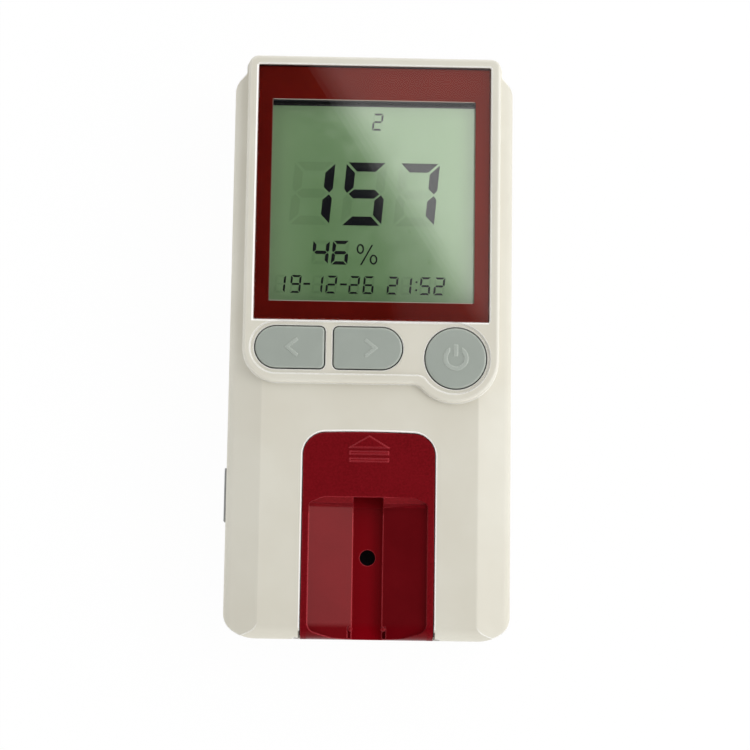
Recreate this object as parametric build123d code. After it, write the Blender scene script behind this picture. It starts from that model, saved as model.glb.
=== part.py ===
from build123d import *
import os
from math import hypot

# A hand-held blood meter: a two-part case with a display, three keys, a pull-out strip carrier
# over a light sensor, a battery bay behind a sliding door, and a rubber cover on the side socket.
# Millimetres. X runs across the face, Y towards the display end, Z out of the face.
# The origin is the centre of the footprint, on the back face.

# Case
WALL = 2.2                  # thickness of the moulded case
CASE_GAP = 0.1              # clearance where one fixed piece seats in another
FACE_HEIGHT = 28.4          # back face to the flat lower face
ISLAND_RISE = 1.6           # the raised panel round the display and keys
ISLAND_EDGE = 0.8           # rounding of the raised panel's edge
PARTING = 13.0              # height of the joint between the two case halves
LIP_WIDTH = 1.0             # tongue on the back half
LIP_HEIGHT = 1.2
WING = 3.6                  # how far the case stands out past the raised panel on each side
WING_TOP_DROP = 7.0         # the wings end this far below the display end
HEAD_MARGIN = 0.6           # the display end stands out past the raised panel
FACET_START = 8.6           # width of the sloped strip along each side
FACET_DROP = 3.1            # how far that strip falls
FACET_ROUND = 3.0
END_ROUND = 3.8             # rounding over the lower end
BACK_BEVEL = 5.0            # sloped edge round the back
BACK_ROUND = 4.0
FOOT_CORNER_X = 5.0         # rounded corner at the lower end, across
FOOT_CORNER_Y = 3.6         # and along
FOOT_CORNER_ROUND = 10.5
FOOT_SIDE_ROUND = 5.35      # where that corner runs into the side
SIDE_ROUND = 4.0
HEAD_ROUND = 2.5            # upright corners of the display end
NOTCH_ROUND = 1.0           # inside corner where a wing meets the display end

# Display
CLEAR_WIDTH = 52.0          # unprinted part of the window
CLEAR_HEIGHT = 52.25
BORDER_LOW = 5.0            # printed border below it
BORDER_HIGH = 8.95          # above it
BORDER_SIDE = 3.8           # and on each side
WINDOW_THICK = 1.4
WINDOW_SUNK = 0.1           # the window lies this far below the raised panel
WINDOW_CHAMFER = 0.2
WINDOW_FIT = 0.1
WINDOW_SOFT = 0.2           # softened edge of the case round the window
BEZEL_SIDE = 2.6            # raised panel beside the window
BEZEL_TOP = 2.4             # and above it
MASK_THICK = 0.2
TAPE_THICK = 0.3
TAPE_WIDTH = 2.0
SIGHT_MARGIN = 1.4          # case opening outside the unprinted part
GASKET_MARGIN = 0.25        # foam gasket's inner edge outside it
GLASS_MARGIN = 1.6          # display glass outside the unprinted part
GLASS_THICK = 1.0
CONTACT_LEDGE = 3.0         # bare strip of the front glass that meets the rubber connector
HOLDER_WALL = 1.3
HOLDER_LEDGE = 1.4
ZEBRA_DEPTH = 2.2

# Keys
KEY_GAP = 0.25              # hairline round each key
KEY_SOFT = 0.1              # softened edge of the case round it
KEY_HEIGHT = 10.6
LEFT_KEY_WIDTH = 17.45
RIGHT_KEY_WIDTH = 17.3
KEY_BRIDGE = 2.35           # case material between the two arrow keys
KEY_SQUARE_ROUND = 1.2      # small corners where the arrow keys face each other
LEFT_KEY_INSET = 3.2        # raised panel's side to the left key
POWER_RADIUS = 7.7
POWER_RIM = 3.3             # raised panel outside the power key's opening
POWER_SHIFT = 0.3           # the power key sits this far right of that ring's middle
POWER_TO_ARROWS = 2.2       # arrow keys' centre line above the power key's centre
POWER_TO_WINDOW = 9.3       # power key's centre to the window's lower edge
WELL_DEPTH = 0.35           # shallow well that the keys lie in
WELL_MARGIN = 1.1
WELL_ROUND = 3.0            # where the well runs into the power key's ring
LOBE_ROUND = 3.5            # the same place on the raised panel's outline
PANEL_CORNER = 9.0          # raised panel's lower left corner
KEY_PROUD = 0.15            # keys stand this far above the raised panel's face
KEY_TOP_ROUND = 0.5
KEY_FLANGE = 0.7            # lip that keeps the key in
KEY_FLANGE_ROOM = 0.2
KEY_FLANGE_THICK = 1.0
KEY_STOP = 0.1              # gap between that lip and the case
KEY_TRAVEL = 0.8
KEY_STEM_RADIUS = 2.6
MARK_RISE = 0.12            # raised symbols on the keys
CHEVRON_WIDTH = 2.6
CHEVRON_HEIGHT = 4.2
CHEVRON_STROKE = 0.75
CHEVRON_SHIFT = 0.6         # both arrows sit this far right of their key's middle
POWER_MARK_RADIUS = 2.65
POWER_MARK_STROKE = 0.95
POWER_MARK_OPEN = 3.1       # width of the gap at the top of the ring
POWER_MARK_BAR = 2.9
POWER_MARK_PROUD = 0.3      # the bar stands out past the ring
DOME_HEIGHT = 4.2
DOME_FOOT = 4.6
DOME_WALL = 0.8

# Strip carrier
CARRIER_WIDTH = 33.0
CARRIER_LENGTH = 51.85
CARRIER_DEPTH = 8.2
CARRIER_PROUD = 0.2
CARRIER_ROUND = 5.5
CARRIER_CROWN = 0.45        # its top edge is bowed by this much
CARRIER_CROWN_ROUND = 300.0
CARRIER_GAP = 0.2
CARRIER_SOFT = 0.15         # softened edge of the case round the carrier
CARRIER_TO_LOBE = 7.65      # bare face between the carrier and the power key's lobe
RUNNER_WIDTH = 1.5          # side lip that runs under the case
RUNNER_DROP = 0.25          # clearance over that lip
RUNNER_START = 1.0          # the lip starts this far above the lower end
RECESS_WIDTH = 29.8
RECESS_LENGTH = 35.5
RECESS_EDGE = 0.9           # depth of the recess at its sides
RECESS_MIDDLE = 2.9         # and beside the groove
RECESS_SOFT = 1.45          # run of its top end where it is rolled over
RECESS_SLOPE = 0.95         # and on down to the ramps
RECESS_CORNER_X = 3.8       # cut corners of the recess, across
RECESS_CORNER_Y = 1.5       # and along
RECESS_ROUND = 1.2
RECESS_FOOT_X = 7.0         # rounded lower corners of the recess, across
RECESS_FOOT_Y = 2.0         # and along
RECESS_FOOT_LIFT = 0.2
RECESS_FOOT_ROUND = 14.0
RECESS_FOOT_SIDE = 2.6
GROOVE_WIDTH = 7.6
GROOVE_DEPTH = 5.2
GROOVE_POCKET = 1.6         # the strip's end goes this far under the top edge
GROOVE_POCKET_HEIGHT = 2.0
SENSOR_Y = 20.5             # sensing spot above the lower end
SENSOR_HOLE = 1.98
NOTCH_WIDTH = 1.0           # small notches in the groove's edges, near its mouth
NOTCH_LOW = 0.3
NOTCH_HIGH = 3.3
NOTCH_DEPTH = 1.8
PEG_RADIUS = 0.58           # round peg that stands in each notch
PEG_Y = 2.7
PEG_OUT = 0.4
PEG_PROUD = 0.45
ARROW_WIDTH = 10.5
ARROW_HEIGHT = 3.1
ARROW_TO_TOP = 0.9
ARROW_BARS = 2
ARROW_BAR_GAP = 0.8
ARROW_BAR_WIDTH = 9.9
ARROW_BAR_HEIGHT = 0.9
ARROW_BAR_PITCH = 1.8
ARROW_RISE = 0.3
ARROW_FLARE = 35.0          # slant of the raised marks' sides, in degrees
POCKET_FLOOR = 1.8
POCKET_WALL = 1.8
POCKET_GAP = 0.3

# Optics under the carrier
LENS_RADIUS = 2.9
LENS_THICK = 1.2
LENS_LEDGE = 0.7
OPTIC_WIDTH = 20.0
OPTIC_LENGTH = 22.0
OPTIC_HEIGHT = 8.3
OPTIC_LUG = 5.0
OPTIC_LUG_THICK = 2.4
OPTIC_BOARD_THICK = 1.6
LIGHT_RADIUS = 1.5
LIGHT_HEIGHT = 2.6
LIGHT_OUT = 6.0             # lamps stand this far each side of the detector
LIGHT_TILT = 40.0           # slant of the light channels
DETECTOR_SIZE = 3.0
DETECTOR_HEIGHT = 1.1

# Battery bay and door
CELL_COUNT = 3
CELL_RADIUS = 5.25
CELL_LENGTH = 44.5
CELL_NUB = 1.2
CELL_NUB_RADIUS = 1.9
CELL_PITCH = 10.9
SPRING_LENGTH = 4.0
SPRING_WIDE = 3.8           # outer radius at the contact plate
SPRING_NARROW = 2.6         # outer radius at the cell
SPRING_WALL = 0.6
CONTACT_THICK = 0.4
CONTACT_GAP = 1.0           # between neighbouring contact plates
TAB_WIDTH = 3.0             # tabs that join the contact plates to the board
TAB_ROOM = 0.2
BAY_SIDE = 1.05             # room beside the outer cells
BAY_WALL = 1.3
BAY_DECK = 1.2
CELL_LIFT = 0.6             # cells above the door
DOOR_THICK = 1.85
DOOR_SUNK = 0.15            # the door lies this far inside the back face
DOOR_GAP = 0.2
DOOR_TONGUE = 1.3
DOOR_TONGUE_THICK = 1.0
RAIL_ROOF = 1.2
RAIL_WIDTH = 1.6
GRIP_LENGTH = 12.0
GRIP_RIBS = 4
GRIP_DEPTH = 0.6

# Boards
BOARD_THICK = 1.6
BOARD_LIFT = 1.6            # main board above the battery bay
BOARD_SIDE = 0.8            # room between the board and the case wall
ARM_WIDTH = 11.0            # arm of the board that carries the side socket
POST_RADIUS = 2.2
BOARD_TO_TRAY = 2.8
BOARD_SCREW_SIDE = 27.5     # lower board screws from the centre line
BOARD_SCREW_IN = 4.0        # and in from the board's edge
TOP_SCREW_SIDE = 12.0       # upper board screws from the centre line
POST_TO_HOLDER = 0.4
BOARD_ARM_PAST = 3.0        # the arm runs this far below the socket's cover
MEMORY_WIDTH = 6.0
MEMORY_LENGTH = 4.0
MEMORY_HEIGHT = 1.5
MEMORY_X = -17.0
CRYSTAL_WIDTH = 8.0
CRYSTAL_LENGTH = 3.0
CRYSTAL_HEIGHT = 2.4
CRYSTAL_X = 16.0
CRYSTAL_Y = 9.5             # above the middle of the display
CAPACITOR_COUNT = 6
CAPACITOR_PITCH = 5.0
CAPACITOR_WIDTH = 2.0
CAPACITOR_LENGTH = 1.2
CAPACITOR_HEIGHT = 0.9
CAPACITOR_ROW = 16.0        # each row from the middle of the display
BUZZER_RADIUS = 4.0
BUZZER_HEIGHT = 3.0
CHIP_SIZE = 10.0
CHIP_HEIGHT = 1.4
RIBBON_WIDTH = 9.0
RIBBON_THICK = 0.3
PLUG_LENGTH = 4.0
PLUG_HEIGHT = 2.0

# Side socket and its cover
SOCKET_Y = 35.8             # centre of the socket above the lower end
SOCKET_WIDTH = 7.6
SOCKET_DEPTH = 7.0
SOCKET_HEIGHT = 3.0
SOCKET_SHEET = 0.3
COVER_LENGTH = 13.9
COVER_HEIGHT = 7.4
COVER_THICK = 1.2
COVER_PROUD = 0.5
COVER_GAP = 0.1
COVER_PLUG_LENGTH = 8.0
COVER_PLUG_HEIGHT = 4.2
COVER_PLUG_DEPTH = 1.1
COVER_PLUG_GAP = 0.5

# Screws
CASE_SCREW_RADIUS = 1.1
CASE_SCREW_LENGTH = 12.0
SCREW_HEAD_RADIUS = 2.0
SCREW_HEAD_THICK = 1.5
SCREW_SINK = 6.0            # depth of the screw holes in the back
SCREW_HOLE_ROOM = 0.3
SCREW_SLOT_LENGTH = 2.4
SCREW_SLOT_WIDTH = 0.5
SCREW_SLOT_DEPTH = 0.8
CASE_SCREW_SIDE = 27.0      # lower case screws from the centre line
CASE_SCREW_IN = 13.0        # and above the lower end
HEAD_SCREW_SIDE = 25.5      # upper case screws from the centre line
BOSS_RADIUS = 2.8
BACK_BOSS_RADIUS = 3.5
SMALL_SCREW_RADIUS = 0.9
SMALL_SCREW_LENGTH = 5.0
SMALL_HEAD_RADIUS = 1.7
SMALL_HEAD_THICK = 1.2
SMALL_SCREW_SHORT = 0.6     # the optic screws stop this far inside the pocket's floor
SCREW_FIT = 0.03            # radial clearance of a screw in its hole

# Window
WINDOW_WIDTH = CLEAR_WIDTH + 2 * BORDER_SIDE
WINDOW_HEIGHT = BORDER_LOW + CLEAR_HEIGHT + BORDER_HIGH

# Places along Y, from the lower end of the case
LOBE_RADIUS = POWER_RADIUS + KEY_GAP + POWER_RIM
POWER_Y = CARRIER_LENGTH + CARRIER_TO_LOBE + LOBE_RADIUS
ARROWS_Y = POWER_Y + POWER_TO_ARROWS
WINDOW_BOTTOM = POWER_Y + POWER_TO_WINDOW
WINDOW_TOP = WINDOW_BOTTOM + WINDOW_HEIGHT
CLEAR_BOTTOM = WINDOW_BOTTOM + BORDER_LOW
CLEAR_TOP = CLEAR_BOTTOM + CLEAR_HEIGHT
LENGTH = WINDOW_TOP + BEZEL_TOP
PANEL_BOTTOM = ARROWS_Y - KEY_HEIGHT / 2 - KEY_GAP - POWER_RIM

# Places along X
PANEL_HALF = WINDOW_WIDTH / 2 + BEZEL_SIDE
HALF = PANEL_HALF + WING
LEFT_KEY_X = -PANEL_HALF + LEFT_KEY_INSET + LEFT_KEY_WIDTH / 2
RIGHT_KEY_X = LEFT_KEY_X + LEFT_KEY_WIDTH / 2 + KEY_BRIDGE + RIGHT_KEY_WIDTH / 2
POWER_X = PANEL_HALF - LOBE_RADIUS
POWER_KEY_X = POWER_X + POWER_SHIFT

# Heights
TOP = FACE_HEIGHT + ISLAND_RISE
WINDOW_BASE = TOP - WINDOW_SUNK - WINDOW_THICK
LEDGE_HEIGHT = WINDOW_BASE - MASK_THICK - TAPE_THICK
LEDGE_UNDER = FACE_HEIGHT - WALL
KEY_CEILING = TOP - WALL
CELL_CENTRE = DOOR_SUNK + DOOR_THICK + CELL_LIFT + CELL_RADIUS
BAY_CEILING = CELL_CENTRE + CELL_RADIUS + 0.3
BOARD_BOTTOM = BAY_CEILING + BAY_DECK + BOARD_LIFT
BOARD_TOP = BOARD_BOTTOM + BOARD_THICK
GLASS_TOP = LEDGE_UNDER - CASE_GAP
CARRIER_TOP = FACE_HEIGHT + CARRIER_PROUD
CARRIER_BOTTOM = CARRIER_TOP - CARRIER_DEPTH
POCKET_BASE = CARRIER_BOTTOM - POCKET_GAP
FLOOR_UNDER = POCKET_BASE - POCKET_FLOOR
OPTIC_BASE = FLOOR_UNDER - OPTIC_HEIGHT


def up(distance):
    """Y of a place given by its distance above the lower end."""
    return distance - LENGTH / 2


def block(left, right, low, high, bottom, top):
    """A box between two corners; low and high are measured from the lower end."""
    size = (right - left, high - low, top - bottom)
    return Pos((left + right) / 2, up((low + high) / 2), (bottom + top) / 2) * Box(*size)


def rod(x, distance, bottom, top, radius):
    """An upright cylinder at a distance above the lower end."""
    return Pos(x, up(distance), (bottom + top) / 2) * Cylinder(radius, top - bottom)


def inset(corners, depth):
    """Move each side of an anticlockwise outline inwards, with its corner arcs kept concentric."""
    moved = []
    for place, (x, y, radius) in enumerate(corners):
        before = corners[place - 1]
        after = corners[(place + 1) % len(corners)]
        run_in = hypot(x - before[0], y - before[1])
        run_out = hypot(after[0] - x, after[1] - y)
        ix, iy = (x - before[0]) / run_in, (y - before[1]) / run_in
        ox, oy = (after[0] - x) / run_out, (after[1] - y) / run_out
        share = depth / (1 + ix * ox + iy * oy)
        outward = ix * oy - iy * ox > 0
        arc = radius - depth if outward else radius + depth
        moved.append((x - share * (iy + oy), y + share * (ix + ox), max(arc, 0)))
    return moved


def corner_arc(corners, place):
    """Start, middle and end of the arc at one corner; all three meet where it is sharp."""
    x, y, radius = corners[place]
    before = corners[place - 1]
    after = corners[(place + 1) % len(corners)]
    run_in = hypot(x - before[0], y - before[1])
    run_out = hypot(after[0] - x, after[1] - y)
    ix, iy = (x - before[0]) / run_in, (y - before[1]) / run_in
    ox, oy = (after[0] - x) / run_out, (after[1] - y) / run_out
    reach = radius * abs(ix * oy - iy * ox) / (1 + ix * ox + iy * oy)
    middle_reach = (hypot(radius, reach) - radius) / hypot(ox - ix, oy - iy)
    start = (x - ix * reach, y - iy * reach)
    middle = (x + (ox - ix) * middle_reach, y + (oy - iy) * middle_reach)
    return start, middle, (x + ox * reach, y + oy * reach)


def outline(corners, depth=0):
    """A flat face inside corners given as x, y and corner radius."""
    moved = inset(corners, depth)
    arcs = [corner_arc(moved, place) for place in range(len(moved))]
    edges = []
    for place, (start, middle, end) in enumerate(arcs):
        following = arcs[(place + 1) % len(arcs)][0]
        if hypot(end[0] - start[0], end[1] - start[1]) > 1e-6:
            edges.append(ThreePointArc(start, middle, end))
        if hypot(following[0] - end[0], following[1] - end[1]) > 1e-6:
            edges.append(Line(end, following))
    return make_face(edges)


def both_sides(right_side):
    """Mirror the right-hand corners, listed from the lower end up, to close an outline."""
    return right_side + [(-x, y, radius) for x, y, radius in reversed(right_side)]


def plan_face(depth=0):
    """The case seen from the front."""
    shoulder = LENGTH - WING_TOP_DROP
    head = PANEL_HALF + HEAD_MARGIN
    right_side = [
        (HALF - FOOT_CORNER_X, up(0), FOOT_CORNER_ROUND),
        (HALF, up(FOOT_CORNER_Y), FOOT_SIDE_ROUND),
        (HALF, up(shoulder), SIDE_ROUND),
        (head, up(shoulder + HALF - head), NOTCH_ROUND),
        (head, up(LENGTH), HEAD_ROUND),
    ]
    return outline(both_sides(right_side), depth)


def section_face(depth=0):
    """The case cut across, without the raised panel."""
    right_side = [
        (HALF - BACK_BEVEL, 0, BACK_ROUND),
        (HALF, BACK_BEVEL, BACK_ROUND),
        (HALF, FACE_HEIGHT - FACET_DROP, FACET_ROUND),
        (HALF - FACET_START, FACE_HEIGHT, FACET_ROUND / 2),
    ]
    return outline(both_sides(right_side), depth)


def profile_face(depth=0):
    """The case cut along its length, without the raised panel."""
    corners = [
        (up(BACK_BEVEL), 0, BACK_ROUND),
        (up(LENGTH - BACK_BEVEL), 0, BACK_ROUND),
        (up(LENGTH), BACK_BEVEL, BACK_ROUND),
        (up(LENGTH), FACE_HEIGHT, 0),
        (up(0), FACE_HEIGHT, END_ROUND),
        (up(0), BACK_BEVEL, BACK_ROUND),
    ]
    return outline(corners, depth)


def case_form(depth=0):
    """The whole case as one block, drawn in by a depth on every side."""
    seen = extrude(plan_face(depth), amount=TOP)
    across = extrude(Plane.XZ * section_face(depth), amount=LENGTH, both=True)
    along = extrude(Plane.YZ * profile_face(depth), amount=HALF * 2, both=True)
    return seen & across & along


def slab(face, bottom, top):
    """A flat face raised into a plate between two heights."""
    return Pos(0, 0, bottom) * extrude(face, amount=top - bottom)


def lobed(corners, lobe_radius, blend):
    """An outline that swells round the power key, with the inside corner blended."""
    ring = Pos(POWER_X, up(POWER_Y)) * Circle(lobe_radius)
    joined = outline(corners) + ring
    floor_y = corners[0][1]
    reach = (lobe_radius ** 2 - (up(POWER_Y) - floor_y) ** 2) ** 0.5
    meeting = Vector(POWER_X - reach, floor_y)
    corner = joined.vertices().sort_by_distance(meeting)[0]
    return fillet(corner, blend)


def panel_face(depth=0):
    """The raised panel round the display and keys."""
    half = PANEL_HALF - depth
    floor_y = up(PANEL_BOTTOM + depth)
    head = up(LENGTH - depth)
    corner = max(HEAD_ROUND - depth, 0)
    tuck = up(POWER_Y) - floor_y
    corners = [
        (-half, floor_y, PANEL_CORNER - depth),
        (half, floor_y, tuck),
        (half, head, corner),
        (-half, head, corner),
    ]
    return lobed(corners, LOBE_RADIUS - depth, LOBE_ROUND)


def well_face():
    """The shallow well that holds all three keys."""
    margin = KEY_GAP + WELL_MARGIN
    reach = KEY_HEIGHT / 2 + margin
    left = LEFT_KEY_X - LEFT_KEY_WIDTH / 2 - margin
    corners = [
        (left, up(ARROWS_Y - reach), reach),
        (POWER_X, up(ARROWS_Y - reach), 0),
        (POWER_X, up(ARROWS_Y + reach), 0),
        (left, up(ARROWS_Y + reach), reach),
    ]
    return lobed(corners, POWER_RADIUS + margin, WELL_ROUND)


def arrow_key_face(x, width, pointing, extra=0):
    """An arrow key's outline: round on the outer end and nearly square on the inner."""
    long_end = KEY_HEIGHT / 2 + extra
    short_end = KEY_SQUARE_ROUND + extra
    reach = width / 2 + extra
    left_end, right_end = (long_end, short_end) if pointing < 0 else (short_end, long_end)
    low, high = up(ARROWS_Y) - long_end, up(ARROWS_Y) + long_end
    corners = [
        (x - reach, low, left_end * 0.999),
        (x + reach, low, right_end * 0.999),
        (x + reach, high, right_end * 0.999),
        (x - reach, high, left_end * 0.999),
    ]
    return outline(corners)


def left_key_face(extra=0):
    return arrow_key_face(LEFT_KEY_X, LEFT_KEY_WIDTH, -1, extra)


def right_key_face(extra=0):
    return arrow_key_face(RIGHT_KEY_X, RIGHT_KEY_WIDTH, 1, extra)


def power_key_face(extra=0):
    return Pos(POWER_KEY_X, up(POWER_Y)) * Circle(POWER_RADIUS + extra)


KEYS = {
    "left": (left_key_face, LEFT_KEY_X, ARROWS_Y),
    "right": (right_key_face, RIGHT_KEY_X, ARROWS_Y),
    "power": (power_key_face, POWER_KEY_X, POWER_Y),
}


def window_face(extra=0):
    """The display window's outline."""
    half = WINDOW_WIDTH / 2 + extra
    low, high = up(WINDOW_BOTTOM - extra), up(WINDOW_TOP + extra)
    corners = [(-half, low, 0.4), (half, low, 0.4), (half, high, 0.4), (-half, high, 0.4)]
    return outline(corners)


def carrier_face(extra=0, end_run=0):
    """The carrier seen from the front; end_run carries it past the lower end."""
    half = CARRIER_WIDTH / 2 + extra
    low, high = up(-end_run), up(CARRIER_LENGTH + extra)
    arc = CARRIER_ROUND + extra
    corners = [
        (-half, low, 0),
        (half, low, 0),
        (half, high - CARRIER_CROWN, arc),
        (0, high, CARRIER_CROWN_ROUND),
        (-half, high - CARRIER_CROWN, arc),
    ]
    return outline(corners)


# Screw places: across and above the lower end
HOLDER_TOP = CLEAR_TOP + GLASS_MARGIN + CASE_GAP + HOLDER_WALL
BOARD_LOW = CARRIER_LENGTH + CARRIER_GAP + POCKET_WALL + BOARD_TO_TRAY
CASE_SCREWS = [
    (side * x, distance)
    for side in (-1, 1)
    for x, distance in (
        (CASE_SCREW_SIDE, CASE_SCREW_IN),
        (HEAD_SCREW_SIDE, HOLDER_TOP + POST_TO_HOLDER + BOSS_RADIUS),
    )
]
BOARD_SCREWS = [
    (side * x, distance)
    for side in (-1, 1)
    for x, distance in (
        (BOARD_SCREW_SIDE, BOARD_LOW + BOARD_SCREW_IN),
        (TOP_SCREW_SIDE, HOLDER_TOP + POST_TO_HOLDER + POST_RADIUS),
    )
]
OPTIC_SCREWS = [(side * (OPTIC_WIDTH + OPTIC_LUG) / 2, SENSOR_Y) for side in (-1, 1)]


def flare(face, surface, reach):
    """A cut that widens as it comes out through a surface, for a softened edge."""
    return Pos(0, 0, surface - reach) * extrude(face, amount=2 * reach, taper=-45)


def front_shell():
    """Upper half of the case, with the carrier's pocket, the display ledge and the bosses."""
    solid = case_form()
    cavity = case_form(WALL)
    shell = solid & block(-HALF, HALF, 0, LENGTH, PARTING, TOP)
    panel = slab(panel_face(), LEDGE_UNDER - WALL, TOP)
    rim = panel.faces().sort_by(Axis.Z)[-1].edges()
    panel = fillet(rim, ISLAND_EDGE)
    shell = shell + (panel & slab(plan_face(), 0, TOP))
    shell = shell - cavity
    reach = PANEL_HALF - WALL - ISLAND_EDGE
    shell -= block(-reach, reach, WINDOW_BOTTOM, LENGTH - WALL - ISLAND_EDGE, PARTING, LEDGE_UNDER)
    inside = panel_face(WALL + ISLAND_EDGE)
    shell -= slab(inside, PARTING, KEY_CEILING) & block(-HALF, HALF, 0, WINDOW_BOTTOM - 0.9, 0, TOP)
    pocket_side = CARRIER_WIDTH / 2 + RUNNER_WIDTH + POCKET_GAP
    pocket_end = CARRIER_LENGTH + CARRIER_GAP
    tray_side = pocket_side + POCKET_WALL
    tray = block(-tray_side, tray_side, 0, pocket_end + POCKET_WALL, FLOOR_UNDER, FACE_HEIGHT)
    shell += tray & solid
    for x, distance in CASE_SCREWS:
        shell += rod(x, distance, PARTING, LEDGE_UNDER + 0.2, BOSS_RADIUS)
    for x, distance in BOARD_SCREWS:
        shell += rod(x, distance, BOARD_TOP, FACE_HEIGHT, POST_RADIUS) & solid
    shell -= block(-pocket_side, pocket_side, -1, pocket_end, POCKET_BASE, LEDGE_UNDER)
    shell -= slab(carrier_face(CARRIER_GAP, 1), LEDGE_UNDER - 1, TOP)
    shell -= flare(carrier_face(CARRIER_GAP, 1), FACE_HEIGHT, CARRIER_SOFT)
    shell -= slab(window_face(WINDOW_FIT), LEDGE_HEIGHT, TOP + 1)
    shell -= flare(window_face(WINDOW_FIT), TOP, WINDOW_SOFT)
    shell -= clear_block(SIGHT_MARGIN, LEDGE_UNDER - 1, TOP)
    shell -= slab(well_face(), TOP - WELL_DEPTH, TOP + 1)
    for key_face, _, _ in KEYS.values():
        shell -= slab(key_face(KEY_GAP), LEDGE_UNDER - 1, TOP)
        shell -= flare(key_face(KEY_GAP), TOP - WELL_DEPTH, KEY_SOFT)
        shell -= slab(key_face(KEY_FLANGE + KEY_FLANGE_ROOM), LEDGE_UNDER - 2, KEY_CEILING)
    ring = plan_face(WALL - LIP_WIDTH - CASE_GAP) - plan_face(WALL)
    shell -= slab(ring, PARTING, PARTING + LIP_HEIGHT + CASE_GAP)
    for x, distance in CASE_SCREWS:
        pilot = CASE_SCREW_RADIUS + SCREW_FIT
        shell -= rod(x, distance, PARTING, PARTING + CASE_SCREW_LENGTH, pilot)
    for x, distance in BOARD_SCREWS:
        pilot = SMALL_SCREW_RADIUS + SCREW_FIT
        shell -= rod(x, distance, BOARD_TOP, BOARD_TOP + SMALL_SCREW_LENGTH, pilot)
    shell -= rod(0, SENSOR_Y, FLOOR_UNDER, POCKET_BASE, LENS_RADIUS - LENS_LEDGE)
    shell -= rod(0, SENSOR_Y, POCKET_BASE - LENS_THICK, POCKET_BASE, LENS_RADIUS + CASE_GAP)
    for x, distance in OPTIC_SCREWS:
        pilot = SMALL_SCREW_RADIUS + SCREW_FIT
        shell -= rod(x, distance, FLOOR_UNDER, POCKET_BASE - 0.4, pilot)
    shell -= cover_seat()
    return shell


def socket_height():
    """Height of the side socket's centre."""
    return BOARD_TOP + SOCKET_HEIGHT / 2


def cover_seat():
    """The shallow seat for the socket cover and the opening through the side wall."""
    middle = socket_height()
    low = SOCKET_Y - COVER_LENGTH / 2 - COVER_GAP
    high = SOCKET_Y + COVER_LENGTH / 2 + COVER_GAP
    rise = COVER_HEIGHT / 2 + COVER_GAP
    depth = COVER_THICK - COVER_PROUD + COVER_GAP
    seat = block(-HALF - 1, -HALF + depth, low, high, middle - rise, middle + rise)
    reach = COVER_PLUG_LENGTH / 2 + COVER_PLUG_GAP
    rise = COVER_PLUG_HEIGHT / 2 + COVER_PLUG_GAP / 2
    hole = block(-HALF - 1, -HALF + WALL + 1, SOCKET_Y - reach, SOCKET_Y + reach,
                 middle - rise, middle + rise)
    return seat + hole


def bay_ends():
    """Lower and upper inside ends of the battery bay."""
    length = CELL_LENGTH + SPRING_LENGTH + 2 * (CONTACT_THICK + CASE_GAP)
    low = WINDOW_BOTTOM + 1.3
    return low, low + length


def door_half():
    """Half the width of the door's plate: it covers the bay and its walls."""
    return (CELL_COUNT - 1) * CELL_PITCH / 2 + CELL_RADIUS + BAY_SIDE + BAY_WALL


def back_shell():
    """Lower half of the case, with the battery bay, the door's rails and the screw holes."""
    solid = case_form()
    shell = solid & block(-HALF, HALF, 0, LENGTH, 0, PARTING)
    ring = plan_face(WALL - LIP_WIDTH) - plan_face(WALL)
    shell += slab(ring, PARTING - 1, PARTING + LIP_HEIGHT)
    shell -= case_form(WALL)
    low, high = bay_ends()
    half = door_half()
    floor = DOOR_SUNK + DOOR_THICK + DOOR_GAP
    rail = half + DOOR_TONGUE + RAIL_WIDTH
    shell += block(-rail, rail, low - BAY_WALL - 1, LENGTH, 0, floor + RAIL_ROOF) & solid
    shell += block(-half, half, low - BAY_WALL, high + BAY_WALL, floor, BAY_CEILING + BAY_DECK)
    inner = half - BAY_WALL
    shell -= block(-inner, inner, low, high, -1, BAY_CEILING)
    door_low = low - BAY_WALL - DOOR_GAP
    door_side = half + DOOR_GAP
    shell -= block(-door_side, door_side, door_low, LENGTH + 1, -1, floor)
    groove_side = half + DOOR_TONGUE + DOOR_GAP
    groove_low = DOOR_SUNK + DOOR_THICK - DOOR_TONGUE_THICK - DOOR_GAP / 2
    shell -= block(-groove_side, groove_side, door_low, LENGTH + 1, groove_low, floor)
    for x, distance in CASE_SCREWS:
        shell += rod(x, distance, WALL / 2, PARTING, BACK_BOSS_RADIUS) & solid
    for x, distance in CASE_SCREWS:
        shell -= rod(x, distance, -1, SCREW_SINK, SCREW_HEAD_RADIUS + SCREW_HOLE_ROOM)
        shell -= rod(x, distance, SCREW_SINK, PARTING, CASE_SCREW_RADIUS + SCREW_FIT)
    for left, right, edge in contact_tabs():
        shell -= block(left - TAB_ROOM, right + TAB_ROOM, edge - TAB_ROOM / 2,
                       edge + CONTACT_THICK + TAB_ROOM / 2, BAY_CEILING - 1, BOARD_BOTTOM)
    return shell


def battery_door():
    """Sliding door: a plate with side tongues, a sloped end and a ribbed thumb grip."""
    low, _ = bay_ends()
    start = low - BAY_WALL
    half = door_half()
    top = DOOR_SUNK + DOOR_THICK
    plate = block(-half, half, start, LENGTH, DOOR_SUNK, top)
    side = half + DOOR_TONGUE
    tongue_end = LENGTH - BACK_BEVEL - WALL
    plate += block(-side, side, start + 1, tongue_end, top - DOOR_TONGUE_THICK, top)
    plate = plate & case_form()
    grip_middle = LENGTH - BACK_BEVEL - GRIP_LENGTH / 2 - 2
    pitch = GRIP_LENGTH / GRIP_RIBS
    for number in range(GRIP_RIBS):
        distance = grip_middle + (number - (GRIP_RIBS - 1) / 2) * pitch
        plate -= block(-half / 2, half / 2, distance - pitch / 4, distance + pitch / 4,
                       0, DOOR_SUNK + GRIP_DEPTH)
    return plate


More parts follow.
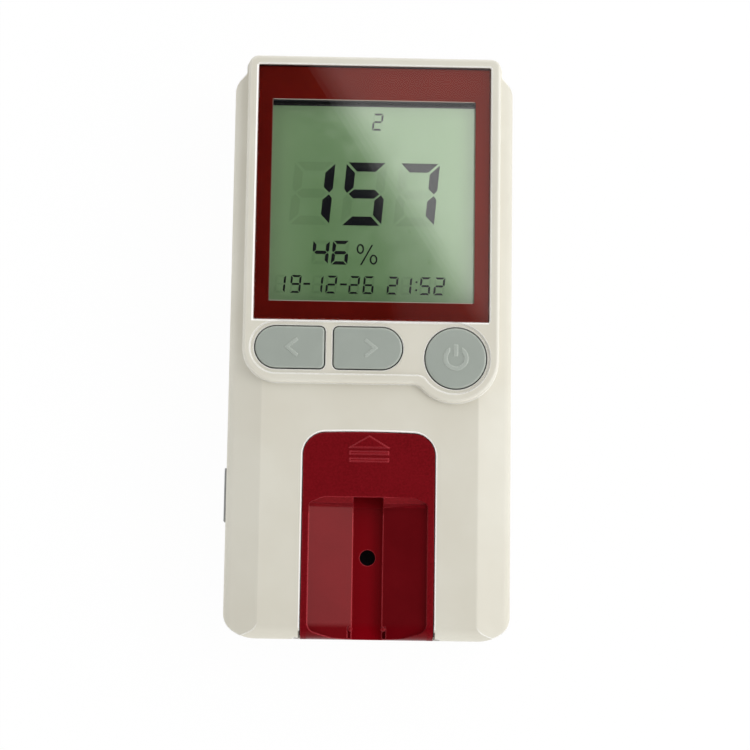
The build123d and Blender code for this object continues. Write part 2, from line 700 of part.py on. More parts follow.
def display_window():
    """Clear acrylic plate flush with the raised panel."""
    plate = slab(window_face(), WINDOW_BASE, WINDOW_BASE + WINDOW_THICK)
    edge = plate.faces().sort_by(Axis.Z)[-1].edges()
    return chamfer(edge, WINDOW_CHAMFER)


def window_mask():
    """Dark red printed film behind the window, open over the display."""
    plate = slab(window_face(), WINDOW_BASE - MASK_THICK, WINDOW_BASE)
    return plate - clear_block(0, 0, TOP)


def window_tape():
    """Foam tape that holds the window on the case ledge."""
    plate = slab(window_face(-CASE_GAP), LEDGE_HEIGHT, LEDGE_HEIGHT + TAPE_THICK)
    half = WINDOW_WIDTH / 2 - TAPE_WIDTH
    low, high = WINDOW_BOTTOM + TAPE_WIDTH, WINDOW_TOP - TAPE_WIDTH
    return plate - block(-half, half, low, high, 0, TOP)


def clear_block(margin, bottom, top):
    """A block over the window's unprinted part, grown by a margin on every side."""
    half = CLEAR_WIDTH / 2 + margin
    return block(-half, half, CLEAR_BOTTOM - margin, CLEAR_TOP + margin, bottom, top)


def display_gasket():
    """Black foam frame between the display glass and the window."""
    bottom, top = GLASS_TOP, WINDOW_BASE - MASK_THICK
    ring = clear_block(SIGHT_MARGIN - CASE_GAP, bottom, top)
    return ring - clear_block(GASKET_MARGIN, 0, TOP)


def glass_ends():
    """Lower and upper ends of the display's front glass."""
    return CLEAR_BOTTOM - GLASS_MARGIN - CONTACT_LEDGE / 2, CLEAR_TOP + GLASS_MARGIN


def lcd_front_glass():
    low, high = glass_ends()
    half = CLEAR_WIDTH / 2 + GLASS_MARGIN
    return block(-half, half, low, high, GLASS_TOP - GLASS_THICK, GLASS_TOP)


def lcd_rear_glass():
    low, high = glass_ends()
    half = CLEAR_WIDTH / 2 + GLASS_MARGIN
    bottom = GLASS_TOP - 2 * GLASS_THICK
    return block(-half, half, low + CONTACT_LEDGE, high, bottom, bottom + GLASS_THICK)


def lcd_holder():
    """Frame that carries the glass above the board."""
    low, high = glass_ends()
    half = CLEAR_WIDTH / 2 + GLASS_MARGIN + CASE_GAP
    low, high = low - CASE_GAP, high + CASE_GAP
    outer = half + HOLDER_WALL
    ledge = GLASS_TOP - 2 * GLASS_THICK
    frame = block(-outer, outer, low - HOLDER_WALL, high + HOLDER_WALL, BOARD_TOP, GLASS_TOP)
    frame -= block(-half, half, low, high, ledge, TOP)
    inner = half - HOLDER_LEDGE
    frame -= block(-inner, inner, low + CONTACT_LEDGE, high - HOLDER_LEDGE, 0, TOP)
    slot = low + (CONTACT_LEDGE - ZEBRA_DEPTH) / 2
    frame -= block(-half, half, slot, low + CONTACT_LEDGE, 0, TOP)
    return frame


def zebra_strip():
    """Striped rubber connector between the board and the front glass."""
    low, _ = glass_ends()
    half = CLEAR_WIDTH / 2
    start = low + (CONTACT_LEDGE - ZEBRA_DEPTH) / 2
    return block(-half, half, start, start + ZEBRA_DEPTH, BOARD_TOP, GLASS_TOP - GLASS_THICK)


def board_outline():
    """Main board with an arm down the left side to the socket and a tab at its upper end."""
    side = HALF - WALL - BOARD_SIDE
    arm_low = SOCKET_Y - COVER_LENGTH / 2 - BOARD_ARM_PAST
    board = block(-side, side, BOARD_LOW, HOLDER_TOP, BOARD_BOTTOM, BOARD_TOP)
    board += block(-side, -side + ARM_WIDTH, arm_low, BOARD_LOW, BOARD_BOTTOM, BOARD_TOP)
    tab = TOP_SCREW_SIDE + 2 * POST_RADIUS
    high = HOLDER_TOP + POST_TO_HOLDER + 2 * POST_RADIUS
    return board + block(-tab, tab, HOLDER_TOP, high, BOARD_BOTTOM, BOARD_TOP)


def main_board():
    board = board_outline()
    for x, distance in BOARD_SCREWS:
        board -= rod(x, distance, BOARD_BOTTOM, BOARD_TOP, SMALL_SCREW_RADIUS + SCREW_FIT)
    for x, distance in CASE_SCREWS:
        board -= rod(x, distance, BOARD_BOTTOM, BOARD_TOP, BOSS_RADIUS + 0.5)
    return board


def key_cap(name, mark):
    """A key with its raised symbol, retaining lip and stem."""
    key_face, x, distance = KEYS[name]
    top = TOP + KEY_PROUD
    lip_top = KEY_CEILING - KEY_STOP
    cap = slab(key_face(), lip_top - KEY_FLANGE_THICK, top)
    edge = cap.faces().sort_by(Axis.Z)[-1].edges()
    cap = fillet(edge, KEY_TOP_ROUND)
    cap += slab(key_face(KEY_FLANGE), lip_top - KEY_FLANGE_THICK, lip_top)
    stem_bottom = BOARD_TOP + DOME_HEIGHT
    cap += rod(x, distance, stem_bottom, lip_top - KEY_FLANGE_THICK, KEY_STEM_RADIUS)
    return cap + slab(mark, top - MARK_RISE, top + MARK_RISE)


def chevron(x, pointing):
    """An arrow-head symbol that points left or right."""
    x += CHEVRON_SHIFT
    back = x - pointing * CHEVRON_WIDTH / 2
    tip = (x + pointing * CHEVRON_WIDTH / 2, up(ARROWS_Y))
    path = Polyline((back, up(ARROWS_Y) + CHEVRON_HEIGHT / 2), tip,
                    (back, up(ARROWS_Y) - CHEVRON_HEIGHT / 2))
    return trace(path, CHEVRON_STROKE)


def power_mark():
    """An open ring with a bar in its gap."""
    place = Pos(POWER_KEY_X, up(POWER_Y))
    outer = POWER_MARK_RADIUS + POWER_MARK_STROKE / 2
    inner = POWER_MARK_RADIUS - POWER_MARK_STROKE / 2
    ring = Circle(outer) - Circle(inner)
    ring -= Pos(0, outer / 2) * Rectangle(POWER_MARK_OPEN, outer)
    bar = Pos(0, outer + POWER_MARK_PROUD - POWER_MARK_BAR / 2) * Rectangle(POWER_MARK_STROKE, POWER_MARK_BAR)
    return place * (ring + bar)


def rubber_dome(name):
    """Hollow rubber dome that lifts a key and closes its contact."""
    _, x, distance = KEYS[name]
    top = KEY_STEM_RADIUS
    corners = [
        (0, DOME_HEIGHT - DOME_WALL),
        (0, DOME_HEIGHT),
        (top, DOME_HEIGHT),
        (DOME_FOOT, DOME_WALL),
        (DOME_FOOT, 0),
        (DOME_FOOT - DOME_WALL, 0),
        (top - DOME_WALL / 2, DOME_HEIGHT - DOME_WALL),
    ]
    wall = make_face(Polyline(*corners, close=True))
    dome = revolve(Plane.XZ * wall, Axis.Z)
    return Pos(x, up(distance), BOARD_TOP) * dome


def recess_cutter():
    """Space cut from the carrier: two ramps that fall towards the strip groove."""
    half = RECESS_WIDTH / 2
    groove = GROOVE_WIDTH / 2
    top = CARRIER_TOP
    lower = CARRIER_TOP - GROOVE_DEPTH
    corners = [
        (-half, top + 1),
        (-half, top - RECESS_EDGE),
        (-groove, top - RECESS_MIDDLE),
        (-groove, lower),
        (groove, lower),
        (groove, top - RECESS_MIDDLE),
        (half, top - RECESS_EDGE),
        (half, top + 1),
    ]
    across = extrude(Plane.XZ * make_face(Polyline(*corners, close=True)), amount=LENGTH, both=True)
    soft = up(RECESS_LENGTH - RECESS_SOFT)
    slope_foot = soft - RECESS_SLOPE
    slope = [
        (up(-1), top + 1),
        (up(-1), lower - 1),
        (slope_foot, lower - 1),
        (slope_foot, top - RECESS_MIDDLE),
        (soft, top - RECESS_EDGE),
        (up(RECESS_LENGTH), top),
        (up(RECESS_LENGTH), top + 1),
    ]
    along = extrude(Plane.YZ * make_face(Polyline(*slope, close=True)), amount=half, both=True)
    low, high = up(-2), up(RECESS_LENGTH)
    foot, side_foot = up(RECESS_FOOT_LIFT), up(RECESS_FOOT_LIFT + RECESS_FOOT_Y)
    seen = outline([
        (-half, side_foot, RECESS_FOOT_SIDE),
        (RECESS_FOOT_X - half, foot, RECESS_FOOT_ROUND),
        (-groove, foot, 0),
        (-groove, low, 0),
        (groove, low, 0),
        (groove, foot, 0),
        (half - RECESS_FOOT_X, foot, RECESS_FOOT_ROUND),
        (half, side_foot, RECESS_FOOT_SIDE),
        (half, high - RECESS_CORNER_Y, RECESS_ROUND),
        (half - RECESS_CORNER_X, high, RECESS_ROUND),
        (RECESS_CORNER_X - half, high, RECESS_ROUND),
        (-half, high - RECESS_CORNER_Y, RECESS_ROUND),
    ])
    return across & along & slab(seen, lower, top + 1)


def strip_carrier():
    """Pull-out carrier that holds the test strip over the sensor."""
    half = CARRIER_WIDTH / 2
    runner_top = LEDGE_UNDER - RUNNER_DROP
    side = half + RUNNER_WIDTH
    carrier = slab(carrier_face(), CARRIER_BOTTOM, CARRIER_TOP)
    carrier += block(-side, side, RUNNER_START, CARRIER_LENGTH - 0.2, CARRIER_BOTTOM, runner_top)
    end = outline([
        (up(0), CARRIER_BOTTOM - 1, 0),
        (up(LENGTH), CARRIER_BOTTOM - 1, 0),
        (up(LENGTH), CARRIER_TOP, 0),
        (up(0), CARRIER_TOP, END_ROUND),
    ])
    carrier = carrier & extrude(Plane.YZ * end, amount=side + 1, both=True)
    carrier -= recess_cutter()
    groove = GROOVE_WIDTH / 2
    floor = CARRIER_TOP - GROOVE_DEPTH
    carrier -= block(-groove, groove, SENSOR_Y, RECESS_LENGTH + GROOVE_POCKET,
                     floor, floor + GROOVE_POCKET_HEIGHT)
    carrier -= block(-groove, groove, SENSOR_Y, RECESS_LENGTH, floor, CARRIER_TOP + 1)
    carrier -= rod(0, SENSOR_Y, 0, TOP, SENSOR_HOLE)
    shoulder = CARRIER_TOP - RECESS_MIDDLE
    notch = groove + NOTCH_WIDTH
    carrier -= block(-notch, notch, NOTCH_LOW, NOTCH_HIGH, shoulder - NOTCH_DEPTH, CARRIER_TOP)
    for hand in (-1, 1):
        peg = rod(hand * (groove + PEG_OUT), PEG_Y, floor, shoulder + PEG_PROUD, PEG_RADIUS)
        tip = peg.faces().sort_by(Axis.Z)[-1].edges()
        carrier += fillet(tip, PEG_RADIUS * 0.8)
    return carrier + carrier_arrow()


def carrier_arrow():
    """Raised arrow and bars that show which way the carrier goes in."""
    tip = CARRIER_LENGTH - ARROW_TO_TOP
    base = tip - ARROW_HEIGHT
    half = ARROW_WIDTH / 2
    head = make_face(Polyline((-half, up(base)), (half, up(base)), (0, up(tip)), close=True))
    mark = raised_mark(head)
    for number in range(ARROW_BARS):
        middle = base - ARROW_BAR_GAP - ARROW_BAR_HEIGHT / 2 - number * ARROW_BAR_PITCH
        mark += raised_mark(Pos(0, up(middle)) * Rectangle(ARROW_BAR_WIDTH, ARROW_BAR_HEIGHT))
    return mark


def raised_mark(face):
    """A mark that stands on the carrier's top, with slanted sides."""
    sunk = 0.2
    foot = slab(face, CARRIER_TOP - sunk, CARRIER_TOP)
    return foot + Pos(0, 0, CARRIER_TOP) * extrude(face, amount=ARROW_RISE, taper=ARROW_FLARE)


def optic_lens():
    """Dark glass disc in the pocket's floor, under the carrier's hole."""
    return rod(0, SENSOR_Y, POCKET_BASE - LENS_THICK, POCKET_BASE, LENS_RADIUS)


def optic_block():
    """Black housing with one upright and two slanted light channels."""
    half = OPTIC_WIDTH / 2
    low, high = SENSOR_Y - OPTIC_LENGTH / 2, SENSOR_Y + OPTIC_LENGTH / 2
    body = block(-half, half, low, high, OPTIC_BASE, FLOOR_UNDER)
    lug = half + OPTIC_LUG
    lug_half = OPTIC_LUG / 2
    body += block(-lug, lug, SENSOR_Y - lug_half, SENSOR_Y + lug_half,
                  FLOOR_UNDER - OPTIC_LUG_THICK, FLOOR_UNDER)
    body -= rod(0, SENSOR_Y, OPTIC_BASE, FLOOR_UNDER, SENSOR_HOLE)
    body -= block(-DETECTOR_SIZE, DETECTOR_SIZE, SENSOR_Y - DETECTOR_SIZE, SENSOR_Y + DETECTOR_SIZE,
                  OPTIC_BASE, OPTIC_BASE + DETECTOR_HEIGHT + 0.5)
    for hand in (-1, 1):
        channel = Rotation(0, -hand * LIGHT_TILT, 0) * Cylinder(1.0, OPTIC_HEIGHT * 1.1)
        body -= Pos(hand * LIGHT_OUT / 2, up(SENSOR_Y), FLOOR_UNDER - OPTIC_HEIGHT / 2) * channel
        body -= rod(hand * LIGHT_OUT, SENSOR_Y, OPTIC_BASE, OPTIC_BASE + LIGHT_HEIGHT + 0.3,
                    LIGHT_RADIUS + 0.2)
    for x, distance in OPTIC_SCREWS:
        body -= rod(x, distance, OPTIC_BASE, FLOOR_UNDER, SMALL_SCREW_RADIUS + SCREW_FIT)
    return body


def optic_board():
    half = OPTIC_WIDTH / 2
    low, high = SENSOR_Y - OPTIC_LENGTH / 2, SENSOR_Y + OPTIC_LENGTH / 2
    return block(-half, half, low, high + PLUG_LENGTH + 1, OPTIC_BASE - OPTIC_BOARD_THICK, OPTIC_BASE)


def sensor_lamps():
    """Two small lamps beside the detector."""
    lamps = Part()
    for hand in (-1, 1):
        lamps += rod(hand * LIGHT_OUT, SENSOR_Y, OPTIC_BASE, OPTIC_BASE + LIGHT_HEIGHT, LIGHT_RADIUS)
    return lamps


def light_detector():
    half = DETECTOR_SIZE / 2
    return block(-half, half, SENSOR_Y - half, SENSOR_Y + half, OPTIC_BASE,
                 OPTIC_BASE + DETECTOR_HEIGHT)


def ribbon_ends():
    """Where the ribbon leaves its two plugs, above the lower end."""
    return SENSOR_Y + OPTIC_LENGTH / 2 + PLUG_LENGTH + 0.5, BOARD_LOW + 3


def ribbon_plugs():
    """Plugs of the ribbon, one on the sensor board and one under the main board."""
    start, end = ribbon_ends()
    half = RIBBON_WIDTH / 2 + 1
    lower = block(-half, half, start - PLUG_LENGTH, start, OPTIC_BASE, OPTIC_BASE + PLUG_HEIGHT)
    upper = block(-half, half, end, end + PLUG_LENGTH, BOARD_BOTTOM - PLUG_HEIGHT, BOARD_BOTTOM)
    return lower + upper


def ribbon():
    """Flat cable from the sensor board to the main board."""
    start, end = ribbon_ends()
    low = OPTIC_BASE + PLUG_HEIGHT / 2
    high = BOARD_BOTTOM - PLUG_HEIGHT / 2
    middle = (start + end) / 2
    half = RIBBON_THICK / 2
    corners = [
        (up(start), low - half, 0),
        (up(middle) + half, low - half, 2.0 + half),
        (up(middle) + half, high - half, 2.0 - half),
        (up(end), high - half, 0),
        (up(end), high + half, 0),
        (up(middle) - half, high + half, 2.0 + half),
        (up(middle) - half, low + half, 2.0 - half),
        (up(start), low + half, 0),
    ]
    return extrude(Plane.YZ * outline(corners), amount=RIBBON_WIDTH / 2, both=True)


def microcontroller():
    half = CHIP_SIZE / 2
    middle = (CLEAR_BOTTOM + CLEAR_TOP) / 2
    return block(-half, half, middle - half, middle + half, BOARD_TOP, BOARD_TOP + CHIP_HEIGHT)


def buzzer():
    """Round sounder between the keys and the carrier."""
    place = BOARD_LOW + BUZZER_RADIUS + 0.5
    body = rod(0, place, BOARD_TOP, BOARD_TOP + BUZZER_HEIGHT, BUZZER_RADIUS)
    return body - rod(0, place, BOARD_TOP + BUZZER_HEIGHT - 0.6, TOP, 0.8)


def board_parts():
    """Capacitors, crystal and memory chip on the main board, under the display."""
    middle = (CLEAR_BOTTOM + CLEAR_TOP) / 2
    parts = fitted(MEMORY_X, middle, MEMORY_WIDTH, MEMORY_LENGTH, MEMORY_HEIGHT)
    parts += fitted(CRYSTAL_X, middle + CRYSTAL_Y, CRYSTAL_WIDTH, CRYSTAL_LENGTH, CRYSTAL_HEIGHT)
    for number in range(CAPACITOR_COUNT):
        x = (number - (CAPACITOR_COUNT - 1) / 2) * CAPACITOR_PITCH
        for row in (-CAPACITOR_ROW, CAPACITOR_ROW):
            parts += fitted(x, middle + row, CAPACITOR_WIDTH, CAPACITOR_LENGTH, CAPACITOR_HEIGHT)
    return parts


def fitted(x, distance, width, length, height):
    """A block that stands on the main board."""
    return block(x - width / 2, x + width / 2, distance - length / 2, distance + length / 2,
                 BOARD_TOP, BOARD_TOP + height)


def side_socket():
    """Metal shell of the power and data socket, on the board's arm."""
    left = -HALF + WALL + CASE_GAP * 2
    low, high = SOCKET_Y - SOCKET_WIDTH / 2, SOCKET_Y + SOCKET_WIDTH / 2
    body = block(left, left + SOCKET_DEPTH, low, high, BOARD_TOP, BOARD_TOP + SOCKET_HEIGHT)
    sheet = SOCKET_SHEET
    body -= block(left - 1, left + SOCKET_DEPTH - 2, low + sheet, high - sheet,
                  BOARD_TOP + sheet, BOARD_TOP + SOCKET_HEIGHT - sheet)
    tongue = SOCKET_WIDTH / 2 - 1.5
    middle = socket_height()
    body += block(left + 0.8, left + SOCKET_DEPTH - 1, SOCKET_Y - tongue, SOCKET_Y + tongue,
                  middle - 0.3, middle + 0.3)
    return body


def cover_hinge():
    """Across and along place of the cover's living hinge."""
    half = COVER_THICK / 2
    return -HALF - COVER_PROUD + half, SOCKET_Y - COVER_LENGTH / 2 + half


def port_cover():
    """Rubber cover with a plug, hinged at its lower end."""
    middle = socket_height()
    half = COVER_HEIGHT / 2
    outer = -HALF - COVER_PROUD
    hinge_x, hinge_y = cover_hinge()
    bottom, top = middle - half, middle + half
    cover = rod(hinge_x, hinge_y, bottom, top, COVER_THICK / 2)
    high = SOCKET_Y + COVER_LENGTH / 2
    cover += block(outer, outer + COVER_THICK, hinge_y, high, bottom, top)
    upright = cover.edges().filter_by(Axis.X).group_by(Axis.Y)[-1]
    cover = fillet(upright, 1.5)
    reach = COVER_PLUG_LENGTH / 2
    rise = COVER_PLUG_HEIGHT / 2
    inner = outer + COVER_THICK
    cover += block(inner, inner + COVER_PLUG_DEPTH, SOCKET_Y - reach, SOCKET_Y + reach,
                   middle - rise, middle + rise)
    return cover


def cell_place(number):
    """Across place and pointing of each cell: neighbours lie head to tail."""
    x = (number - (CELL_COUNT - 1) / 2) * CELL_PITCH
    return x, 1 if number % 2 == 0 else -1


def battery_cells():
    """Small dry cells side by side in the bay."""
    low, high = bay_ends()
    start, end = low + CASE_GAP + CONTACT_THICK, high - CASE_GAP - CONTACT_THICK
    cells = Part()
    for number in range(CELL_COUNT):
        x, pointing = cell_place(number)
        nose, tail = (start, end - SPRING_LENGTH) if pointing > 0 else (end, start + SPRING_LENGTH)
        neck = nose + pointing * CELL_NUB
        cells += lying_rod(x, neck, tail, CELL_RADIUS)
        cells += lying_rod(x, nose, neck, CELL_NUB_RADIUS)
    return cells


def lying_rod(x, start, end, radius):
    """A cylinder along Y at the cells' height."""
    place = Pos(x, up((start + end) / 2), CELL_CENTRE) * Rotation(90, 0, 0)
    return place * Cylinder(radius, abs(end - start))


def contact_springs():
    """Coned springs at the cells' flat ends."""
    low, high = bay_ends()
    start, end = low + CASE_GAP + CONTACT_THICK, high - CASE_GAP - CONTACT_THICK
    springs = Part()
    for number in range(CELL_COUNT):
        x, pointing = cell_place(number)
        seat = end if pointing > 0 else start
        middle = seat - pointing * SPRING_LENGTH / 2
        cone = Cone(SPRING_WIDE, SPRING_NARROW, SPRING_LENGTH)
        cone -= Cone(SPRING_WIDE - SPRING_WALL, SPRING_NARROW - SPRING_WALL, SPRING_LENGTH)
        springs += Pos(x, up(middle), CELL_CENTRE) * Rotation(90 * pointing, 0, 0) * cone
    return springs


def contact_spans():
    """Each contact plate: its first and last cell, and the bay's end it stands at."""
    low, high = bay_ends()
    ends = (low + CASE_GAP, high - CASE_GAP - CONTACT_THICK)
    last = CELL_COUNT - 1
    spans = [(0, 0, ends[0])]
    for number in range(last):
        spans.append((number, number + 1, ends[(number + 1) % 2]))
    spans.append((last, last, ends[CELL_COUNT % 2]))
    return spans


def contact_tabs():
    """Sides and end of the tabs on the first and last plate."""
    tabs = []
    for first, last, edge in contact_spans():
        if first == last:
            x, _ = cell_place(first)
            tabs.append((x - TAB_WIDTH / 2, x + TAB_WIDTH / 2, edge))
    return tabs


def contact_plates():
    """Sprung steel plates that join the cells in a row, with tabs up to the board."""
    bottom, top = CELL_CENTRE - CELL_RADIUS * 0.7, BAY_CEILING - CASE_GAP
    reach = (CELL_PITCH - CONTACT_GAP) / 2
    plates = Part()
    for first, last, edge in contact_spans():
        left, right = cell_place(first)[0] - reach, cell_place(last)[0] + reach
        plates += block(left, right, edge, edge + CONTACT_THICK, bottom, top)
    for left, right, edge in contact_tabs():
        plates += block(left, right, edge, edge + CONTACT_THICK, bottom, BOARD_BOTTOM)
    return plates


def case_screws():
    """Four self-tapping screws from the back."""
    screws = Part()
    for x, distance in CASE_SCREWS:
        screws += rod(x, distance, SCREW_SINK - SCREW_HEAD_THICK, SCREW_SINK, SCREW_HEAD_RADIUS)
        screws += rod(x, distance, SCREW_SINK, SCREW_SINK + CASE_SCREW_LENGTH, CASE_SCREW_RADIUS)
        screws -= cross_slot(x, distance, SCREW_SINK - SCREW_HEAD_THICK)
    return screws


def cross_slot(x, distance, face):
    """The cross-shaped drive in a screw's head."""
    arm, half = SCREW_SLOT_LENGTH / 2, SCREW_SLOT_WIDTH / 2
    deep = face + SCREW_SLOT_DEPTH
    slot = block(x - arm, x + arm, distance - half, distance + half, face, deep)
    return slot + block(x - half, x + half, distance - arm, distance + arm, face, deep)


def board_screws():
    """Small screws of the main board and the optic block, heads down."""
    screws = Part()
    optic_length = OPTIC_LUG_THICK + POCKET_FLOOR - SMALL_SCREW_SHORT
    optic_seat = FLOOR_UNDER - OPTIC_LUG_THICK
    places = [(x, distance, BOARD_BOTTOM, SMALL_SCREW_LENGTH) for x, distance in BOARD_SCREWS]
    places += [(x, distance, optic_seat, optic_length) for x, distance in OPTIC_SCREWS]
    for x, distance, seat, length in places:
        screws += rod(x, distance, seat - SMALL_HEAD_THICK, seat, SMALL_HEAD_RADIUS)
        screws += rod(x, distance, seat, seat + length, SMALL_SCREW_RADIUS)
    return screws


NODES = {
    "front_shell": front_shell,
    "back_shell": back_shell,
    "battery_door": battery_door,
    "display_window": display_window,
    "window_mask": window_mask,
    "window_tape": window_tape,
    "display_gasket": display_gasket,
    "lcd_front_glass": lcd_front_glass,
    "lcd_rear_glass": lcd_rear_glass,
    "lcd_holder": lcd_holder,
    "zebra_strip": zebra_strip,
    "main_board": main_board,
    "microcontroller": microcontroller,
    "board_parts": board_parts,
    "buzzer": buzzer,
    "side_socket": side_socket,
    "port_cover": port_cover,
    "left_key": lambda: key_cap("left", chevron(LEFT_KEY_X, -1)),
    "right_key": lambda: key_cap("right", chevron(RIGHT_KEY_X, 1)),
    "power_key": lambda: key_cap("power", power_mark()),
    "left_dome": lambda: rubber_dome("left"),
    "right_dome": lambda: rubber_dome("right"),
    "power_dome": lambda: rubber_dome("power"),
    "strip_carrier": strip_carrier,
    "optic_lens": optic_lens,
    "optic_block": optic_block,
    "optic_board": optic_board,
    "sensor_lamps": sensor_lamps,
    "light_detector": light_detector,
    "ribbon": ribbon,
    "ribbon_plugs": ribbon_plugs,
    "battery_cells": battery_cells,
    "contact_springs": contact_springs,
    "contact_plates": contact_plates,
    "case_screws": case_screws,
    "board_screws": board_screws,
}

os.makedirs("parts", exist_ok=True)
for node, make in NODES.items():
    export_step(make(), f"parts/{node}.step")
    print(node)
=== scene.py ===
import bpy
from math import cos, pi, radians, sin, tan
from mathutils import Matrix, Vector


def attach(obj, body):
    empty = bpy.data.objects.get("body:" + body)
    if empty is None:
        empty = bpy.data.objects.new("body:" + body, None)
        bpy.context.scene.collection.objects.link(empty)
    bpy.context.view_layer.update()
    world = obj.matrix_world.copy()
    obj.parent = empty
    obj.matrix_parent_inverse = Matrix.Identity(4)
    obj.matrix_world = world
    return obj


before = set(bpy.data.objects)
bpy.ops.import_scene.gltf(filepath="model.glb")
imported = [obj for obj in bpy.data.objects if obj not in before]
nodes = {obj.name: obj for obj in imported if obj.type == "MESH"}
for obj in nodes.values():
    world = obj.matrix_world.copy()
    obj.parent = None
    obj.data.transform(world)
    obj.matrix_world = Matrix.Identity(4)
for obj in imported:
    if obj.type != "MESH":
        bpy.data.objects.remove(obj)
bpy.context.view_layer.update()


# Back half of the case
# An injection moulding in ivory ABS, 2.2 mm thick, with the battery bay in its middle.
# The mould was lightly spark eroded, so the skin is satin; its edges are smoother where it is held,
# and their colour is painted paler as a highlight.
# A thin line of painted shade darkens the joint between the halves.
case_length = 0.14865
joint_height = 0.0130
grain_width = 0.00030
grain_depth = 0.0000035


def up(millimetres):
    """Y of a place given by its distance above the lower end of the case."""
    return millimetres / 1000 - case_length / 2


def tone(red, green, blue):
    """A colour as it is seen, 0 to 255, made ready for a finish."""
    parts = [value / 255 for value in (red, green, blue)]
    return tuple(((p + 0.055) / 1.055) ** 2.4 if p > 0.04 else p / 12.92 for p in parts) + (1,)


def put(finish, target, value):
    """Set an input, or feed it from another node."""
    if isinstance(value, bpy.types.NodeSocket):
        finish.node_tree.links.new(value, target)
    else:
        target.default_value = value


def add(finish, kind, inputs=(), **settings):
    """Add a node to a finish and fill in its inputs."""
    node = finish.node_tree.nodes.new("ShaderNode" + kind)
    for name, value in settings.items():
        setattr(node, name, value)
    for place, value in dict(inputs).items():
        put(finish, node.inputs[place], value)
    return node


def new_finish(name, colour, roughness, **sockets):
    """A finish with one plain surface, whose even values sit on the surface's own sockets."""
    finish = bpy.data.materials.new(name)
    finish.use_nodes = True
    surface = finish.node_tree.nodes["Principled BSDF"]
    surface.inputs["Base Color"].default_value = colour
    surface.inputs["Roughness"].default_value = roughness
    for socket, value in sockets.items():
        surface.inputs[socket.replace("_", " ")].default_value = value
    return finish


def give(finish, socket, value):
    """Feed one socket of a finish's surface."""
    put(finish, finish.node_tree.nodes["Principled BSDF"].inputs[socket], value)


def colour_of(finish):
    """What feeds a finish's colour so far."""
    return finish.node_tree.nodes["Principled BSDF"].inputs["Base Color"].links[0].from_socket


def place_on(finish, stretch=(1, 1, 1)):
    """The place on the piece, in metres, squeezed along each axis."""
    seen = add(finish, "TexCoord").outputs["Object"]
    if stretch == (1, 1, 1):
        return seen
    return add(finish, "Mapping", {"Vector": seen, "Scale": stretch}).outputs[0]


def clouds(finish, size, detail=2.0, stretch=(1, 1, 1)):
    """Soft blotches of about that size."""
    inputs = {"Vector": place_on(finish, stretch), "Scale": 1 / size, "Detail": detail}
    return add(finish, "TexNoise", inputs).outputs[0]


def worked(finish, operation, first, second=0.0):
    """A sum, product, larger value and so on of two values."""
    return add(finish, "Math", {0: first, 1: second}, operation=operation).outputs[0]


def between(finish, value, low, high, start=0.35, end=0.65):
    """Turn a value from start to end into one from low to high."""
    inputs = {"Value": value, "From Min": start, "From Max": end, "To Min": low, "To Max": high}
    return add(finish, "MapRange", inputs).outputs[0]


def blended(finish, share, first, second):
    """One colour running into another."""
    inputs = {0: share, 6: first, 7: second}
    return add(finish, "Mix", inputs, data_type="RGBA").outputs[2]


def relief(finish, height, depth, under=None):
    """Raise the skin by a height, on top of what is under it."""
    inputs = {"Height": height, "Distance": depth, "Strength": 1.0}
    if under is not None:
        inputs["Normal"] = under
    return add(finish, "Bump", inputs).outputs[0]


def rounded(finish, reach):
    """The skin with its sharp edges softened."""
    return add(finish, "Bevel", {"Radius": reach}, samples=4).outputs[0]


def edges(finish, soft):
    """1 along the edges that rounded() softens, and 0 on the open faces."""
    flat = add(finish, "NewGeometry").outputs["Normal"]
    turn = add(finish, "VectorMath", {0: soft, 1: flat}, operation="DOT_PRODUCT").outputs["Value"]
    return between(finish, turn, 1, 0, 0.955, 0.9992)


def moulding(
    name, dull, bright, edge_highlight, roughness, grain=grain_width, depth=grain_depth, reach=0.00025
):
    """Moulded plastic: uneven flow, a fine mould grain, and edges polished by handling, with their
    colour painted paler, partly wear and partly a painted highlight.
    """
    finish = new_finish(name, bright, roughness)
    soft = rounded(finish, reach)
    wear_and_highlight_edges = edges(finish, soft)
    flow = between(finish, clouds(finish, 0.021, 3.0), 0, 1)
    body = blended(finish, flow, dull, bright)
    # Edges painted paler: partly wear, partly a painted highlight.
    give(finish, "Base Color", blended(finish, wear_and_highlight_edges, body, edge_highlight))
    uneven = between(finish, clouds(finish, 0.004, 4.0), roughness - 0.05, roughness + 0.06)
    shine = worked(finish, "MULTIPLY", wear_and_highlight_edges, 0.12)
    give(finish, "Roughness", worked(finish, "SUBTRACT", uneven, shine))
    give(finish, "Normal", relief(finish, clouds(finish, grain, 3.0), depth, soft))
    return finish


def dress(finish, *names):
    """Give a finish to pieces of the frame."""
    for name in names:
        for seat in nodes[name].material_slots:
            seat.material = finish


ivory = moulding(
    "ivory_plastic",
    tone(208, 204, 190), tone(213, 210, 197), tone(255, 254, 250), 0.45, reach=0.0005,
)
spot = add(ivory, "SeparateXYZ", {0: place_on(ivory)}).outputs
off_joint = worked(ivory, "ABSOLUTE", worked(ivory, "SUBTRACT", spot[2], joint_height))
# Painted shade: a thin darker line along the joint between the halves.
joint_shade = between(ivory, off_joint, 1, 0, 0.00010, 0.00022)
give(ivory, "Base Color", blended(ivory, joint_shade, colour_of(ivory), tone(128, 123, 110)))
dress(ivory, "back_shell")


